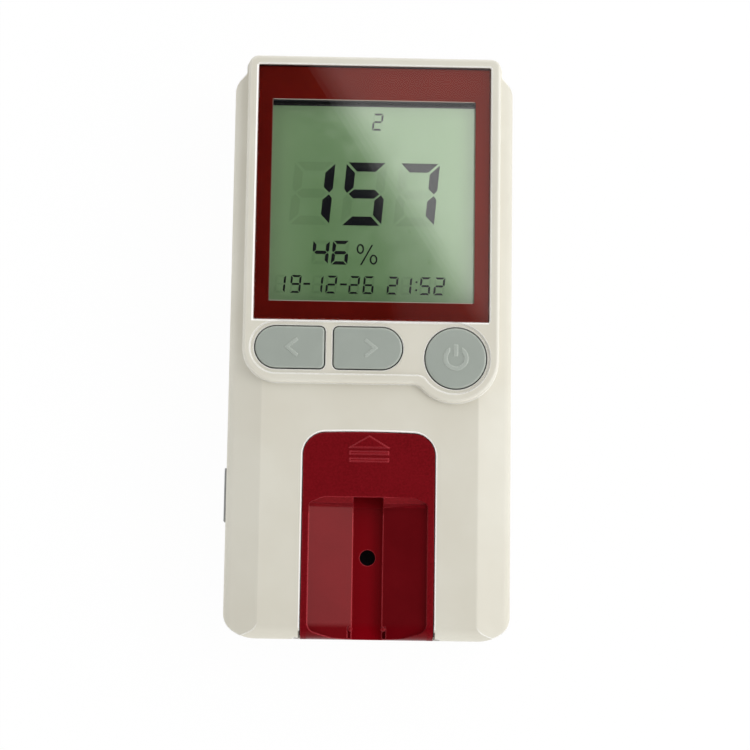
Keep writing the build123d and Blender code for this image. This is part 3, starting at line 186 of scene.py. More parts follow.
# Battery contacts
# Flat nickel-plated plates stand at both ends of the bay, and coned springs press on the
# cells' flat ends. Both are bright, with fine lines from the rolling and drawing of the metal.
def plated(name, colour, shade, roughness, stretch, reach=0.0001):
    """Plated metal with drawing lines and a few dull patches."""
    finish = new_finish(name, colour, roughness, Metallic=1.0)
    soft = rounded(finish, reach)
    patches = between(finish, clouds(finish, 0.003, 4.0), 0, 1, 0.45, 0.7)
    give(finish, "Base Color", blended(finish, patches, colour, shade))
    smears = clouds(finish, 0.0015, 5.0)
    give(finish, "Roughness", between(finish, smears, roughness - 0.06, roughness + 0.1))
    lines = clouds(finish, 0.0012, 2.0, stretch)
    give(finish, "Normal", relief(finish, lines, 0.000002, soft))
    return finish


nickel = plated("nickel_plate", tone(214, 210, 200), tone(178, 172, 160), 0.24, (1, 14, 1))
dress(nickel, "contact_plates", "contact_springs")


# Main board
# Glass-fibre board under green lacquer, 1.6 mm thick, screwed to posts of the front half.
# Copper tracks show through the lacquer as slightly raised, paler lines.
board = new_finish("green_lacquer", tone(24, 92, 52), 0.3, Coat_Weight=0.4, Coat_Roughness=0.15)
weave = add(board, "TexChecker", {"Vector": place_on(board), "Scale": 900.0}).outputs[1]
tracks = add(
    board,
    "TexBrick",
    {
        "Vector": place_on(board),
        "Color1": (0, 0, 0, 1),
        "Color2": (0, 0, 0, 1),
        "Mortar": (1, 1, 1, 1),
        "Scale": 260.0,
        "Mortar Size": 0.035,
        "Brick Width": 1.4,
        "Row Height": 0.35,
    },
).outputs[0]
lacquer = blended(board, clouds(board, 0.012, 2.0), tone(18, 82, 44), tone(30, 100, 58))
fibre = blended(board, between(board, weave, 0.0, 0.12, 0, 1), lacquer, tone(70, 120, 74))
give(board, "Base Color", blended(board, tracks, fibre, tone(62, 138, 84)))
give(board, "Roughness", between(board, clouds(board, 0.006, 3.0), 0.24, 0.38))
give(board, "Normal", relief(board, tracks, 0.00003, rounded(board, 0.0002)))
dress(board, "main_board", "optic_board")


# Chips, buzzer and light detector
# Black epoxy packages with a dull, faintly sandy skin; the buzzer is a moulded black can.
epoxy = moulding(
    "black_epoxy", tone(30, 30, 32), tone(38, 38, 40), tone(66, 66, 68), 0.55, 0.00012, 0.000004
)
dress(epoxy, "microcontroller", "board_parts", "buzzer", "light_detector")


# Side socket
# Folded steel shell of the power and data socket, tin plated, soldered to the board's arm.
tin = plated("tin_plate", tone(196, 197, 198), tone(150, 150, 150), 0.3, (1, 1, 12))
dress(tin, "side_socket")


# Ribbon and its plugs
# Flat cable of white insulation over ten thin wires, between two cream plugs.
wire_pitch = 0.0009
insulation = new_finish("white_insulation", tone(206, 208, 207), 0.4)
across = add(insulation, "SeparateXYZ", {0: place_on(insulation)}).outputs[0]
turns = worked(insulation, "MULTIPLY", across, 2 * pi / wire_pitch)
wires = worked(insulation, "COSINE", turns)
crown = between(insulation, wires, 0, 1, -1, 1)
# Painted shade: the insulation is painted darker in the creases between the wires.
give(insulation, "Base Color", blended(insulation, crown, tone(176, 178, 178), tone(212, 214, 213)))
give(insulation, "Roughness", between(insulation, clouds(insulation, 0.002, 3.0), 0.34, 0.48))
give(insulation, "Normal", relief(insulation, crown, 0.00012))
dress(insulation, "ribbon")
cream = moulding(
    "cream_nylon", tone(196, 188, 164), tone(208, 200, 176), tone(222, 215, 195), 0.42, 0.0002
)
dress(cream, "ribbon_plugs")


# Sensor under the carrier
# A matt black housing screwed under the pocket, two clear lamps and a dark filter glass
# that closes the hole in the pocket's floor.
matt_black = moulding(
    "matt_black", tone(26, 26, 27), tone(33, 33, 34), tone(52, 52, 53), 0.62, 0.0002, 0.000006
)
dress(matt_black, "optic_block")
lamp = new_finish("lamp_resin", tone(228, 226, 214), 0.12, IOR=1.5)
milk = clouds(lamp, 0.0009, 3.0)
give(lamp, "Base Color", blended(lamp, milk, tone(214, 212, 200), tone(236, 234, 224)))
give(lamp, "Roughness", between(lamp, clouds(lamp, 0.0006, 3.0), 0.08, 0.2))
give(lamp, "Normal", relief(lamp, clouds(lamp, 0.0004), 0.000003, rounded(lamp, 0.0002)))
dress(lamp, "sensor_lamps")
filter_glass = new_finish("filter_glass", tone(24, 14, 22), 0.06, IOR=1.52, Coat_Weight=0.5)
dust = between(filter_glass, clouds(filter_glass, 0.0004, 5.0), 0, 1, 0.6, 0.75)
give(filter_glass, "Base Color", blended(filter_glass, dust, tone(22, 13, 20), tone(52, 42, 48)))
give(filter_glass, "Roughness", between(filter_glass, clouds(filter_glass, 0.001, 3.0), 0.04, 0.14))
soft = rounded(filter_glass, 0.0002)
give(filter_glass, "Normal", relief(filter_glass, clouds(filter_glass, 0.0008), 0.0000008, soft))
dress(filter_glass, "optic_lens")


# Display holder and its rubber connector
# A grey moulded frame keeps the glass off the board; a strip of black and grey rubber layers
# joins the glass's contacts to the board.
holder = moulding("grey_frame", tone(92, 93, 94), tone(102, 103, 104), tone(132, 132, 132), 0.5)
dress(holder, "lcd_holder")
layers = new_finish("layered_rubber", tone(60, 60, 66), 0.6)
run = add(layers, "SeparateXYZ", {0: place_on(layers)}).outputs[0]
count = worked(layers, "MULTIPLY", run, 2 * pi / 0.0004)
stripes = between(layers, worked(layers, "SINE", count), 0, 1, -0.2, 0.2)
give(layers, "Base Color", blended(layers, stripes, tone(34, 34, 38), tone(118, 116, 122)))
give(layers, "Roughness", between(layers, clouds(layers, 0.001, 3.0), 0.52, 0.7))
give(layers, "Normal", relief(layers, stripes, 0.00001, rounded(layers, 0.0002)))
dress(layers, "zebra_strip")


# Display glass
# Two sheets of glass with liquid crystal between them. The grey-green film behind them is
# silvered, so it throws back more light than glass alone, and a soft film in front dulls it.
display_top = 0.0261
display_low, display_high = up(85.05), up(137.3)


def low_angle(finish):
    """0 where a face is seen square on, rising to 1 where it is seen edge on."""
    return add(finish, "LayerWeight", {0: 0.5}).outputs["Facing"]


def display_film(name, depth):
    """Grey-green, darker towards the bottom, with painted light making it paler towards the sides;
    a depth under 1 darkens it as an unlit segment does.
    """
    finish = new_finish(name, tone(125, 160, 110), 0.08, IOR=2.4, Specular_IOR_Level=1.0)
    give(finish, "Specular Tint", (0.9, 1, 0.84, 1))
    right, along, _ = add(finish, "SeparateXYZ", {0: place_on(finish)}).outputs
    aside = worked(finish, "ABSOLUTE", right)
    # Painted light: the film is paler within a few millimetres of its sides.
    sides = between(finish, aside, 0, 1, 0.015, 0.027)
    shade = between(finish, along, 0, 1, display_low, display_high)
    dark, pale, spot_pale, painted_side_light = [
        tuple(depth * part for part in tone(*colour)[:3]) + (1,)
        for colour in ((110, 146, 97), (126, 161, 113), (131, 165, 119), (144, 176, 130))
    ]
    film = blended(finish, shade, dark, pale)
    mottle = between(finish, clouds(finish, 0.009, 4.0), 0.0, 0.4)
    film = blended(finish, mottle, film, spot_pale)
    give(finish, "Base Color", blended(finish, sides, film, painted_side_light))
    give(finish, "Specular IOR Level", between(finish, low_angle(finish), 1.0, 0.12, 0.12, 0.4))
    give(finish, "Roughness", between(finish, clouds(finish, 0.0035, 4.0), 0.06, 0.1))
    give(finish, "Normal", relief(finish, clouds(finish, 0.0006), 0.0000003))
    return finish


display = display_film("display_green", 1.0)
dress(display, "lcd_front_glass", "lcd_rear_glass")


# Figures of the display
# Dark segments formed in the glass: three large figures, two middle ones with a percent sign,
# one small figure above and a row of plain numbers below. Unlit segments show as faint shadows.
LIT = {
    "0": "abcdef", "1": "bc", "2": "abged", "3": "abgcd", "4": "fgbc",
    "5": "afgcd", "6": "afgedc", "7": "abc", "8": "abcdefg", "9": "abcdfg",
}
figure_slant = 0.087
ink_foot = display_top - 0.00001


def segment(letter, width, height, thick, gap):
    """Corners of one segment of a figure that stands upright on its lower left corner."""
    middle = height / 2
    tip, low_cut, high_cut = 0.35 * thick, 0.45 * thick, 0.6 * thick
    right_upper = [
        (width, height - gap), (width - thick, height - thick - gap),
        (width - thick, middle + gap / 2 + high_cut), (width - tip, middle + gap / 2),
        (width, middle + gap / 2 + low_cut),
    ]
    top = [
        (gap, height), (width - gap, height),
        (width - thick - gap, height - thick), (thick + gap, height - thick),
    ]
    centre = [
        (tip + gap, middle), (thick + gap * 0.4, middle + thick / 2),
        (width - thick - gap * 0.4, middle + thick / 2), (width - tip - gap, middle),
        (width - thick - gap * 0.4, middle - thick / 2), (thick + gap * 0.4, middle - thick / 2),
    ]
    turned = {
        "a": top,
        "b": right_upper,
        "c": [(x, height - y) for x, y in right_upper],
        "d": [(x, height - y) for x, y in top],
        "e": [(width - x, height - y) for x, y in right_upper],
        "f": [(width - x, y) for x, y in right_upper],
        "g": centre,
    }
    return turned[letter]


def figure(number, right, bottom, width, height, thick, gap, lit=True):
    """Segments of one leaning figure; right is the place of its upper right corner, in mm."""
    wanted = LIT[number] if lit else [letter for letter in "abcdefg" if letter not in LIT[number]]
    shapes = []
    for letter in wanted:
        corners = segment(letter, width, height, thick, gap)
        shapes.append([
            (right - width + x - figure_slant * (height - y), bottom + y) for x, y in corners
        ])
    return shapes


def oval(x, y, across, high, count=28):
    """An oval outline."""
    turns = [2 * pi * step / count for step in range(count)]
    return [(x + across * cos(turn), y + high * sin(turn)) for turn in turns]


def flat_piece(name, shapes, bottom, top, finish, body="housing"):
    """Thin plates cut to outlines given in mm; an outline inside another is a hole."""
    drawing = bpy.data.curves.new(name, "CURVE")
    drawing.dimensions = "2D"
    drawing.fill_mode = "BOTH"
    drawing.extrude = (top - bottom) / 2
    for shape in shapes:
        line = drawing.splines.new("POLY")
        line.points.add(len(shape) - 1)
        for point, (x, y) in zip(line.points, shape):
            point.co = (x / 1000, up(y), 0, 1)
        line.use_cyclic_u = True
    sheet = bpy.data.objects.new(name + "_drawing", drawing)
    mesh = bpy.data.meshes.new_from_object(sheet)
    bpy.data.objects.remove(sheet)
    mesh.name = name
    mesh.transform(Matrix.Translation((0, 0, (bottom + top) / 2)))
    mesh.materials.clear()
    mesh.materials.append(finish)
    piece = bpy.data.objects.new(name, mesh)
    bpy.context.scene.collection.objects.link(piece)
    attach(piece, body)
    return piece


LARGE = [("1", -9.75), ("5", 3.57), ("7", 17.1)]
MIDDLE = [("4", -10.82), ("6", -5.82)]
ROW = [
    ("1", -21.8), ("9", -17.86), ("1", -12.3), ("2", -8.75), ("2", -2.93), ("6", 0.71),
    ("2", 6.86), ("1", 10.36), ("5", 15.18), ("2", 18.8),
]


def all_figures(lit):
    """Every segment of the display that is lit, or every one that isn't."""
    shapes = []
    for number, right in LARGE:
        shapes += figure(number, right, 105.1, 10.4, 16.5, 2.35, 0.45, lit)
    for number, right in MIDDLE:
        shapes += figure(number, right, 94.86, 4.2, 6.2, 0.85, 0.22, lit)
    for number, right in ROW:
        shapes += figure(number, right, 87.36, 2.7, 4.6, 0.5, 0.16, lit)
    shapes += figure("2", 2.45, 130.1, 2.65, 4.5, 0.5, 0.16, lit)
    return shapes


shapes = all_figures(True)
shapes += [oval(-3.04, 99.0, 0.95, 1.3), oval(-3.04, 99.0, 0.55, 0.9)]
shapes += [oval(0.36, 96.3, 0.98, 1.3), oval(0.36, 96.3, 0.58, 0.9)]
shapes.append([(-3.07, 94.86), (-2.65, 94.86), (0.21, 100.1), (-0.21, 100.1)])
for dash in (-16.57, -7.2):
    start, end = dash - 0.85, dash + 0.85
    shapes.append([(start, 89.5), (end, 89.5), (end, 90.0), (start, 90.0)])
shapes += [oval(11.43, 90.64, 0.27, 0.27, 12), oval(11.36, 88.6, 0.27, 0.27, 12)]

ink = new_finish("segment_dark", tone(20, 21, 30), 0.08, IOR=1.8, Specular_IOR_Level=0.65)
give(ink, "Base Color", blended(ink, clouds(ink, 0.004, 3.0), tone(10, 11, 15), tone(16, 17, 22)))
give(ink, "Roughness", between(ink, clouds(ink, 0.0035, 4.0), 0.04, 0.07))
lit_figures = flat_piece("display_figures", shapes, ink_foot, display_top + 0.00003, ink)

shadow = display_film("segment_shadow", 0.88)
unlit_figures = flat_piece(
    "display_unlit", all_figures(False), ink_foot, display_top + 0.00002, shadow
)


# Display shade strip
# A thin black strip on the upper edge of the glass, below the window's frame, is painted shade
# standing in for the shade that falls there.
shade_strip_low, shade_strip_high = 136.3, 137.65
# Painted shade: a black strip laid where the window's frame shades the glass.
shade_strip = new_finish("black_shade_strip", tone(16, 16, 19), 0.09, IOR=1.8, Specular_IOR_Level=0.6)
patches = clouds(shade_strip, 0.003, 3.0)
give(shade_strip, "Base Color", blended(shade_strip, patches, tone(12, 12, 15), tone(24, 24, 27)))
give(shade_strip, "Roughness", between(shade_strip, clouds(shade_strip, 0.002, 3.0), 0.06, 0.14))
corners = [(-26.4, shade_strip_low), (26.4, shade_strip_low), (26.4, shade_strip_high), (-26.4, shade_strip_high)]
shade_strip_piece = flat_piece("display_shade_strip", [corners], ink_foot, display_top + 0.00005, shade_strip)


# Display gasket and window tape
# Black closed-cell foam, die cut: one frame keeps dust off the glass, the other sticks the
# window to its ledge.
foam = new_finish("black_foam", tone(28, 28, 29), 0.85)
cells = add(foam, "TexVoronoi", {"Vector": place_on(foam), "Scale": 4200.0}).outputs["Distance"]
walls = between(foam, cells, 0, 1, 0.0, 0.7)
give(foam, "Base Color", blended(foam, walls, tone(20, 20, 21), tone(40, 40, 42)))
give(foam, "Roughness", between(foam, clouds(foam, 0.002, 3.0), 0.78, 0.95))
give(foam, "Normal", relief(foam, cells, 0.00006))
dress(foam, "display_gasket", "window_tape")


# Window mask
# Dark red ink printed on a thin film behind the window, open over the display. A pale hairline
# along the opening is a painted highlight on the film's cut edge, weaker on the left and left off
# on the right, and a black line of painted shade runs round the film's outer edge.
opening_half = 0.0260
hairline = 0.00016
mask_half, mask_low, mask_high = 0.0298, up(80.05), up(146.25)
mask = new_finish("red_ink", tone(90, 14, 9), 0.1, IOR=1.7, Specular_IOR_Level=0.7)
give(mask, "Specular Tint", (1, 0.12, 0.04, 1))
right, along, _ = add(mask, "SeparateXYZ", {0: place_on(mask)}).outputs
aside = worked(mask, "ABSOLUTE", right)
off_middle = worked(mask, "SUBTRACT", along, (display_low + display_high) / 2)
off_middle = worked(mask, "ABSOLUTE", off_middle)
off_end = worked(mask, "SUBTRACT", off_middle, (display_high - display_low) / 2)
out = worked(mask, "MAXIMUM", worked(mask, "SUBTRACT", aside, opening_half), off_end)
# Painted shade: a black line along the film's outer edge.
sides = between(mask, aside, 1, 0, mask_half - 0.00032, mask_half - 0.00020)
foot = between(mask, along, 0, 1, mask_low + 0.00025, mask_low + 0.00037)
head = between(mask, along, 1, 0, mask_high - 0.00037, mask_high - 0.00025)
inner = worked(mask, "MULTIPLY", worked(mask, "MULTIPLY", foot, head), sides)
# Painted highlight: a pale hairline along the opening, weaker on the left and left off on the
# right.
line = between(mask, out, 1, 0, hairline * 0.7, hairline * 1.2)
right_side = between(mask, right, 1, 0, opening_half - 0.0004, opening_half - 0.0002)
line = worked(mask, "MULTIPLY", line, right_side)
left_side = between(mask, right, 0.3, 1, -opening_half, 0.0004 - opening_half)
line = worked(mask, "MULTIPLY", line, left_side)
flow = between(mask, clouds(mask, 0.015, 3.0), 0, 1)
ink_tone = blended(mask, flow, tone(86, 13, 8), tone(93, 15, 10))
ink_with_painted_hairline = blended(mask, line, ink_tone, tone(176, 170, 158))
give(mask, "Base Color", blended(mask, inner, tone(26, 8, 7), ink_with_painted_hairline))
give(mask, "Specular IOR Level", between(mask, low_angle(mask), 0.7, 0.2, 0.12, 0.4))
give(mask, "Roughness", between(mask, clouds(mask, 0.0015, 3.0), 0.05, 0.09))
give(mask, "Normal", relief(mask, clouds(mask, 0.0006), 0.0000004))
dress(mask, "window_mask")


# Display window
# A plate of clear polished acrylic, 1.4 mm thick, taped flush into the raised panel. Light
# crosses its lower face unbent where the mask is stuck to it. Wiping has left very fine marks.
lower_face, stuck_edge = 0.0285, 0.00002
clear = (0.985, 0.99, 0.985, 1)
window = new_finish("clear_acrylic", clear, 0.02, IOR=1.49, Transmission_Weight=1.0)
wiped = clouds(window, 0.004, 5.0, (1, 5, 1))
give(window, "Roughness", between(window, wiped, 0.0, 0.03, 0.4, 0.75))
give(window, "Normal", relief(window, clouds(window, 0.02, 1.0), 0.000002))
rays = add(window, "LightPath")
straight = worked(window, "MAXIMUM", rays.outputs["Is Shadow Ray"], rays.outputs["Is Diffuse Ray"])
right, along, height = add(window, "SeparateXYZ", {0: place_on(window)}).outputs
beneath = between(window, height, 1, 0, lower_face + 0.0001, lower_face + 0.0003)
aside = worked(window, "ABSOLUTE", right)
stuck = between(window, aside, 0, 1, opening_half - stuck_edge, opening_half)
for start, end in (
    (display_low, display_low - stuck_edge),
    (display_high, display_high + stuck_edge),
):
    stuck = worked(window, "MAXIMUM", stuck, between(window, along, 0, 1, start, end))
stuck = worked(window, "MULTIPLY", stuck, beneath)
straight = worked(window, "MAXIMUM", straight, stuck)
through = add(window, "BsdfTransparent", {"Color": (0.93, 0.93, 0.93, 1)}).outputs[0]
glass = window.node_tree.nodes["Principled BSDF"].outputs[0]
both = add(window, "MixShader", {0: straight, 1: glass, 2: through}).outputs[0]
put(window, window.node_tree.nodes["Material Output"].inputs["Surface"], both)
dress(window, "display_window")


# Keys
# Three caps of soft grey silicone-coated plastic, each with a raised symbol painted paler as a
# highlight, held by a lip under the case and lifted by a hollow rubber dome. Painted shade darkens
# the sides of each cap below its top, and painted highlights make the caps' edges paler.
cap_top = 0.03016
mark_top = 0.03022
key = new_finish("key_grey", tone(155, 162, 154), 0.42)
soft = rounded(key, 0.0003)
height = add(key, "SeparateXYZ", {0: place_on(key)}).outputs[2]
raised = between(key, height, 0, 1, cap_top, mark_top)
body = blended(key, clouds(key, 0.006, 3.0), tone(148, 155, 147), tone(156, 163, 155))
# Painted highlight: the raised symbols are painted paler.
symbol = blended(key, raised, body, tone(161, 168, 160))
# Painted highlight: the cap's edges are painted paler.
cap = blended(key, edges(key, soft), symbol, tone(196, 202, 193))
# Painted shade: the cap's sides below its top are painted dark.
side_shade = between(key, height, 1, 0, cap_top - 0.0006, cap_top - 0.0003)
give(key, "Base Color", blended(key, side_shade, cap, tone(34, 36, 34)))
give(key, "Roughness", between(key, clouds(key, 0.002, 4.0), 0.36, 0.48))
give(key, "Normal", relief(key, clouds(key, 0.00022, 3.0), 0.0000025, soft))
dress(key, "left_key", "right_key", "power_key")
dome = moulding(
    "dome_rubber", tone(142, 144, 142), tone(150, 152, 150), tone(160, 162, 160), 0.6, 0.0003
)
dress(dome, "left_dome", "right_dome", "power_dome")


# Front half of the case
# The same ivory moulding as the back half, with the raised panel round the window and the keys.
# Painted highlights make near-white rims round the carrier's opening and on the near and left edges
# of the window's seat, and painted shade darkens the wall of that opening. Long screws from the
# back join the halves.
pocket_half, pocket_top, pocket_corner, pocket_bow = 0.0167, up(52.05), 0.0057, 0.00045
seat_half, seat_low, seat_high = 0.0299, up(79.95), up(146.35)
face_height, wall_foot = 0.0284, 0.0256
rim_width = 0.00034
right, along, height = add(ivory, "SeparateXYZ", {0: place_on(ivory)}).outputs
aside = worked(ivory, "ABSOLUTE", right)
bow = worked(ivory, "MULTIPLY", aside, aside)
bow = worked(ivory, "MULTIPLY", bow, pocket_bow / pocket_half ** 2)
above = worked(ivory, "SUBTRACT", worked(ivory, "ADD", along, bow), pocket_top - pocket_corner)
past_side = worked(ivory, "SUBTRACT", aside, pocket_half - pocket_corner)
past_side = worked(ivory, "MAXIMUM", past_side, 0.0)
past_top = worked(ivory, "MAXIMUM", above, 0.0)
corner = add(ivory, "CombineXYZ", {0: past_side, 1: past_top}).outputs[0]
off_pocket = add(ivory, "VectorMath", {0: corner}, operation="LENGTH").outputs["Value"]
off_pocket = worked(ivory, "SUBTRACT", off_pocket, pocket_corner)
off_middle = worked(ivory, "SUBTRACT", along, (seat_low + seat_high) / 2)
off_middle = worked(ivory, "ABSOLUTE", off_middle)
off_seat = worked(ivory, "SUBTRACT", off_middle, (seat_high - seat_low) / 2)
off_seat = worked(ivory, "MAXIMUM", off_seat, worked(ivory, "SUBTRACT", aside, seat_half))
# The painted rim highlight is left off the far and right edges of the seat.
far_edge = between(ivory, along, 0, 1, seat_high - 0.0002, seat_high - 0.0001)
right_edge = between(ivory, right, 0, 1, seat_half - 0.0002, seat_half - 0.0001)
off_seat = worked(ivory, "ADD", off_seat, worked(ivory, "MAXIMUM", far_edge, right_edge))
off_rim = worked(ivory, "MINIMUM", off_pocket, off_seat)
# Painted highlight: a near-white rim round the carrier's opening and the window's seat.
painted_rim_highlight = between(ivory, off_rim, 1, 0, rim_width, rim_width + 0.00012)
on_face = between(ivory, height, 0, 1, face_height - 0.0002, face_height - 0.0001)
painted_rim_highlight = worked(ivory, "MULTIPLY", painted_rim_highlight, on_face)
with_rim_highlight = blended(ivory, painted_rim_highlight, colour_of(ivory), tone(255, 254, 250))
# Painted shade: the wall of the carrier's opening is darkened.
pocket_wall_shade = between(ivory, worked(ivory, "ABSOLUTE", off_pocket), 1, 0, 0.0003, 0.0004)
below_rim = between(ivory, height, 1, 0, face_height - 0.0005, face_height - 0.0003)
above_foot = between(ivory, height, 0, 1, wall_foot - 0.0001, wall_foot + 0.0001)
pocket_wall_shade = worked(ivory, "MULTIPLY", pocket_wall_shade, worked(ivory, "MULTIPLY", below_rim, above_foot))
give(ivory, "Base Color", blended(ivory, pocket_wall_shade, with_rim_highlight, tone(98, 90, 82)))
dress(ivory, "front_shell")
zinc = plated("zinc_plate", tone(186, 188, 194), tone(150, 152, 160), 0.3, (9, 1, 1))
dress(zinc, "case_screws", "board_screws")


# Strip carrier
# Semi-gloss dark red plastic. Its flat top has a fine leather-like mould grain, while the ramps
# and the groove that guide the strip are polished so that they wipe clean. The groove's colour is
# fresher, thumbs dull the rolled lower end, and the edges are painted paler as a highlight, weaker
# on the right and near the recess's upper wall.
top_level = 0.02858
ramp_half, groove_half = 0.0149, 0.0038
recess_end, wall_top, end_roll = up(31.3), up(33.2), up(4.2)
carrier = new_finish("carrier_red", tone(96, 5, 13), 0.3, IOR=1.6, Coat_Roughness=0.16)
give(carrier, "Specular Tint", (1, 0.14, 0.14, 1))
soft = rounded(carrier, 0.0003)
to_right, along, height = add(carrier, "SeparateXYZ", {0: place_on(carrier)}).outputs
level = between(carrier, height, 0, 1, top_level - 0.0001, top_level)
across = worked(carrier, "ABSOLUTE", to_right)
outside = between(carrier, across, 0, 1, ramp_half, ramp_half + 0.0002)
end_wall = between(carrier, along, 0, 1, wall_top - 0.0003, wall_top)
dull_end = between(carrier, along, 0, 1, end_roll - 0.0012, end_roll)
grained = worked(carrier, "MAXIMUM", worked(carrier, "MAXIMUM", level, outside), end_wall)
skin = clouds(carrier, 0.0005, 4.0)
flow = between(carrier, clouds(carrier, 0.009, 3.0), 0, 1)
body = blended(carrier, flow, tone(92, 4, 11), tone(99, 6, 14))
spark = worked(carrier, "MULTIPLY", between(carrier, skin, 0, 1), grained)
dappled = blended(carrier, spark, body, tone(112, 10, 20))
groove = between(carrier, across, 1, 0, groove_half, groove_half + 0.0002)
sunk = between(carrier, level, 1, 0, 0, 1)
groove = worked(carrier, "MULTIPLY", groove, sunk)
fresh = blended(carrier, groove, dappled, tone(121, 4, 15))
# Painted highlight: the pale edges are weaker on the right and near the recess's upper wall.
highlight_strength = between(carrier, to_right, 1, 0.15, 0.006, 0.008)
near_wall = between(carrier, along, 1, 0.25, recess_end, recess_end + 0.0005)
past_wall = between(carrier, along, 0.25, 1, wall_top + 0.0013, wall_top + 0.0023)
highlight_strength = worked(carrier, "MULTIPLY", highlight_strength, worked(carrier, "MAXIMUM", near_wall, past_wall))
edge_highlight = worked(carrier, "MULTIPLY", edges(carrier, soft), highlight_strength)
give(carrier, "Base Color", blended(carrier, edge_highlight, fresh, tone(176, 58, 66)))
give(carrier, "Roughness", between(carrier, grained, 0.22, 0.4, 0, 1))
coat = between(carrier, grained, 0.4, 0.0, 0, 1)
shine = between(carrier, grained, 1.0, 0.38, 0, 1)
give(carrier, "Coat Weight", worked(carrier, "MULTIPLY", coat, dull_end))
shine = worked(carrier, "MULTIPLY", shine, between(carrier, dull_end, 0.2, 1, 0, 1))
give(carrier, "Specular IOR Level", shine)
depth = worked(carrier, "MULTIPLY", skin, grained)
give(carrier, "Normal", relief(carrier, depth, 0.000022, soft))
dress(carrier, "strip_carrier")


# Battery cells and the door
# Three small dry cells in plain blue sleeves lie head to tail; the door is moulded with the
# case halves, slides in from the display end and has a ribbed grip.
sleeve = new_finish("cell_sleeve", tone(40, 78, 132), 0.28, Coat_Weight=0.6, Coat_Roughness=0.1)
length = add(sleeve, "SeparateXYZ", {0: place_on(sleeve)}).outputs[1]
wave = worked(sleeve, "MULTIPLY", length, 2 * pi / 0.022)
band = between(sleeve, worked(sleeve, "SINE", wave), 0, 1, 0.55, 0.6)
jacket = blended(sleeve, clouds(sleeve, 0.008, 3.0), tone(36, 72, 124), tone(48, 88, 142))
give(sleeve, "Base Color", blended(sleeve, band, jacket, tone(186, 190, 196)))
give(sleeve, "Roughness", between(sleeve, clouds(sleeve, 0.003, 4.0), 0.22, 0.38))
soft = rounded(sleeve, 0.0003)
give(sleeve, "Normal", relief(sleeve, clouds(sleeve, 0.0016, 4.0), 0.00001, soft))
dress(sleeve, "battery_cells")
dress(ivory, "battery_door")


# Socket cover
# Grey rubber flap in the left side, with a plug on its inner face and a hinge at its lower end.
flap = moulding(
    "flap_rubber", tone(150, 152, 152), tone(158, 160, 160), tone(172, 174, 174), 0.55, 0.0003
)
dress(flap, "port_cover")


# Table
# A plain pale board. It is white to the eye and a little darker for the light it throws back,
# keeps the shadow, and fades out into the white beyond it.
table_reach, table_drop = 0.6, 0.0001
fade_start = 0.22
ground = bpy.data.meshes.new("table")
turns = [radians(turn) for turn in range(0, 360, 5)]
ring = [(table_reach * cos(turn), table_reach * sin(turn), -table_drop) for turn in turns]
ground.from_pydata(ring, [], [list(range(len(ring)))])
table = bpy.data.objects.new("table", ground)
bpy.context.scene.collection.objects.link(table)
paper = bpy.data.materials.new("table_white")
paper.use_nodes = True
paper.node_tree.nodes.remove(paper.node_tree.nodes["Principled BSDF"])
rays = add(paper, "LightPath")
seen = worked(paper, "MAXIMUM", rays.outputs["Is Camera Ray"], rays.outputs["Is Glossy Ray"])
seen = worked(paper, "MAXIMUM", seen, rays.outputs["Is Transmission Ray"])
white = blended(paper, seen, (0.9, 0.9, 0.9, 1), (1, 1, 1, 1))
matt = add(paper, "BsdfDiffuse", {"Color": white}).outputs[0]
lit = add(paper, "Emission", {"Color": (1, 1, 1, 1), "Strength": 1.0}).outputs[0]
lift = worked(paper, "MULTIPLY", seen, 0.96)
matt = add(paper, "MixShader", {0: lift, 1: matt, 2: lit}).outputs[0]
beyond = add(paper, "BsdfTransparent").outputs[0]
far = add(paper, "VectorMath", {0: place_on(paper)}, operation="LENGTH").outputs["Value"]
fade = between(paper, far, 0, 1, fade_start, table_reach * 0.95)
surface = add(paper, "MixShader", {0: fade, 1: matt, 2: beyond}).outputs[0]
put(paper, paper.node_tree.nodes["Material Output"].inputs["Surface"], surface)
ground.materials.append(paper)


# Light
# A pale tent, darker overhead and white towards the horizon. One large soft panel hangs above on
# the right, with a dim strip of cloth beside it; a low panel lights each of two sides.
tent = bpy.data.worlds.new("tent")
tent.use_nodes = True
bpy.context.scene.world = tent
direction = add(tent, "SeparateXYZ", {0: add(tent, "TexCoord").outputs["Generated"]}).outputs[2]
ramp = add(tent, "ValToRGB", {0: direction})
steps = ramp.color_ramp.elements
steps[0].position, steps[0].color = 0.0, (1, 1, 1, 1)
steps[1].position, steps[1].color = 1.0, (0.02, 0.02, 0.02, 1)
for position, level in ((0.1, 1.2), (0.3, 1.52), (0.5, 1.36), (0.75, 0.4), (0.9, 0.05)):
    step = steps.new(position)
    step.color = (level, level, level, 1)
put(tent, tent.node_tree.nodes["Background"].inputs["Color"], ramp.outputs[0])


def panel(name, edge, turn, slant, width, length, level):
    """A soft light panel hung by the middle of its near edge; level is how bright its face is."""
    lamp = bpy.data.lights.new(name, "AREA")
    lamp.shape = "RECTANGLE"
    lamp.size, lamp.size_y = width, length
    lamp.energy = level * pi * width * length
    outwards = Vector((cos(turn) * cos(slant), sin(turn) * cos(slant), -sin(slant)))
    along = Vector((-sin(turn), cos(turn), 0))
    facing = Matrix((outwards, along, outwards.cross(along))).transposed().to_4x4()
    hung = bpy.data.objects.new(name, lamp)
    hung.matrix_world = Matrix.Translation(Vector(edge) + outwards * width / 2) @ facing
    hung.visible_camera = False
    bpy.context.scene.collection.objects.link(hung)
    return hung


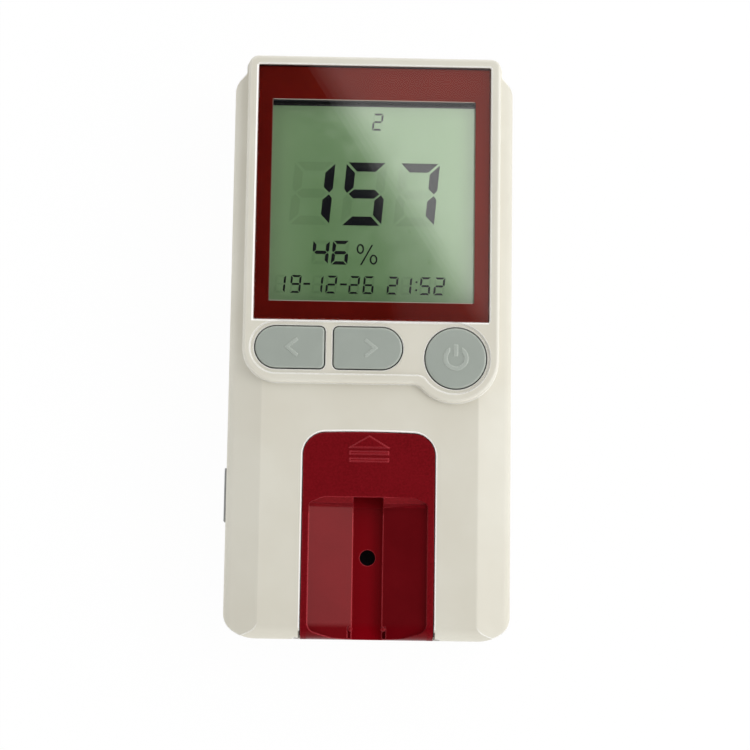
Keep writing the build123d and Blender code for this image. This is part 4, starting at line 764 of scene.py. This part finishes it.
edge_x, edge_y, edge_height, edge_turn = 0.0405, 0.2562, 1.1, radians(32.5)
edge_step, key_length, key_level = 0.0045, 1.1, 0.97
for number in range(5):
    ahead = number * edge_step
    strip_edge = (edge_x + ahead * cos(edge_turn), edge_y + ahead * sin(edge_turn), edge_height)
    width, slant = (0.85, radians(35)) if number == 4 else (edge_step, 0)
    level = key_level * (number + 1) / 5
    panel(f"key_panel_{number}", strip_edge, edge_turn, slant, width, key_length, level)
cloth_turn, cloth_end, cloth_gap = radians(10), -0.12, 0.003
closing = cos(cloth_turn) * tan(edge_turn) - sin(cloth_turn)
for start, width, level in (
    (0.0165, 0.0045, 0.06), (0.021, 0.0045, 0.12), (0.0255, 0.0045, 0.16), (0.030, 0.011, 0.19),
    (0.041, 0.012, 0.20), (0.053, 0.012, 0.21), (0.065, 0.012, 0.23), (0.077, 0.024, 0.26),
):
    head = (edge_x + cloth_gap - start - width / 2) / closing
    middle = (head + cloth_end) / 2
    cloth_edge = (start - sin(cloth_turn) * middle, edge_y + cos(cloth_turn) * middle, edge_height)
    panel("dim_cloth", cloth_edge, cloth_turn, 0, width, head - cloth_end, level)
panel("side_panel", (0.85, 0.1, 1.15), radians(8), radians(62), 0.6, 0.9, 2.6)
foot_panel = panel("foot_panel", (0.5, -0.9, 0.6), radians(-62), radians(75), 0.6, 1.0, 1.3)
foot_panel.visible_glossy = False
foot_panel.visible_transmission = False


# Camera
# Almost square on, half a metre above the face, a little below the middle and turned slightly.
tilt, swing, roll = radians(7.351), radians(0.811), radians(0.854)
aim = Vector((0.00113, up(66.16), 0.030))
reach = 0.4781
back = Vector((-sin(swing) * cos(tilt), -sin(tilt), cos(tilt) * cos(swing))).normalized()
side = Vector((0, 1, 0)).cross(back).normalized()
rise = back.cross(side)
level_side = side * cos(roll) + rise * sin(roll)
level_rise = rise * cos(roll) - side * sin(roll)
lens = bpy.data.cameras.new("camera")
lens.sensor_width = 36
lens.lens = 91.2
lens.clip_start, lens.clip_end = 0.01, 20
camera = bpy.data.objects.new("camera", lens)
turned = Matrix((level_side, level_rise, back)).transposed().to_4x4()
camera.matrix_world = Matrix.Translation(aim + back * reach) @ turned
bpy.context.scene.collection.objects.link(camera)
bpy.context.scene.camera = camera
bpy.context.scene.view_settings.view_transform = "Standard"
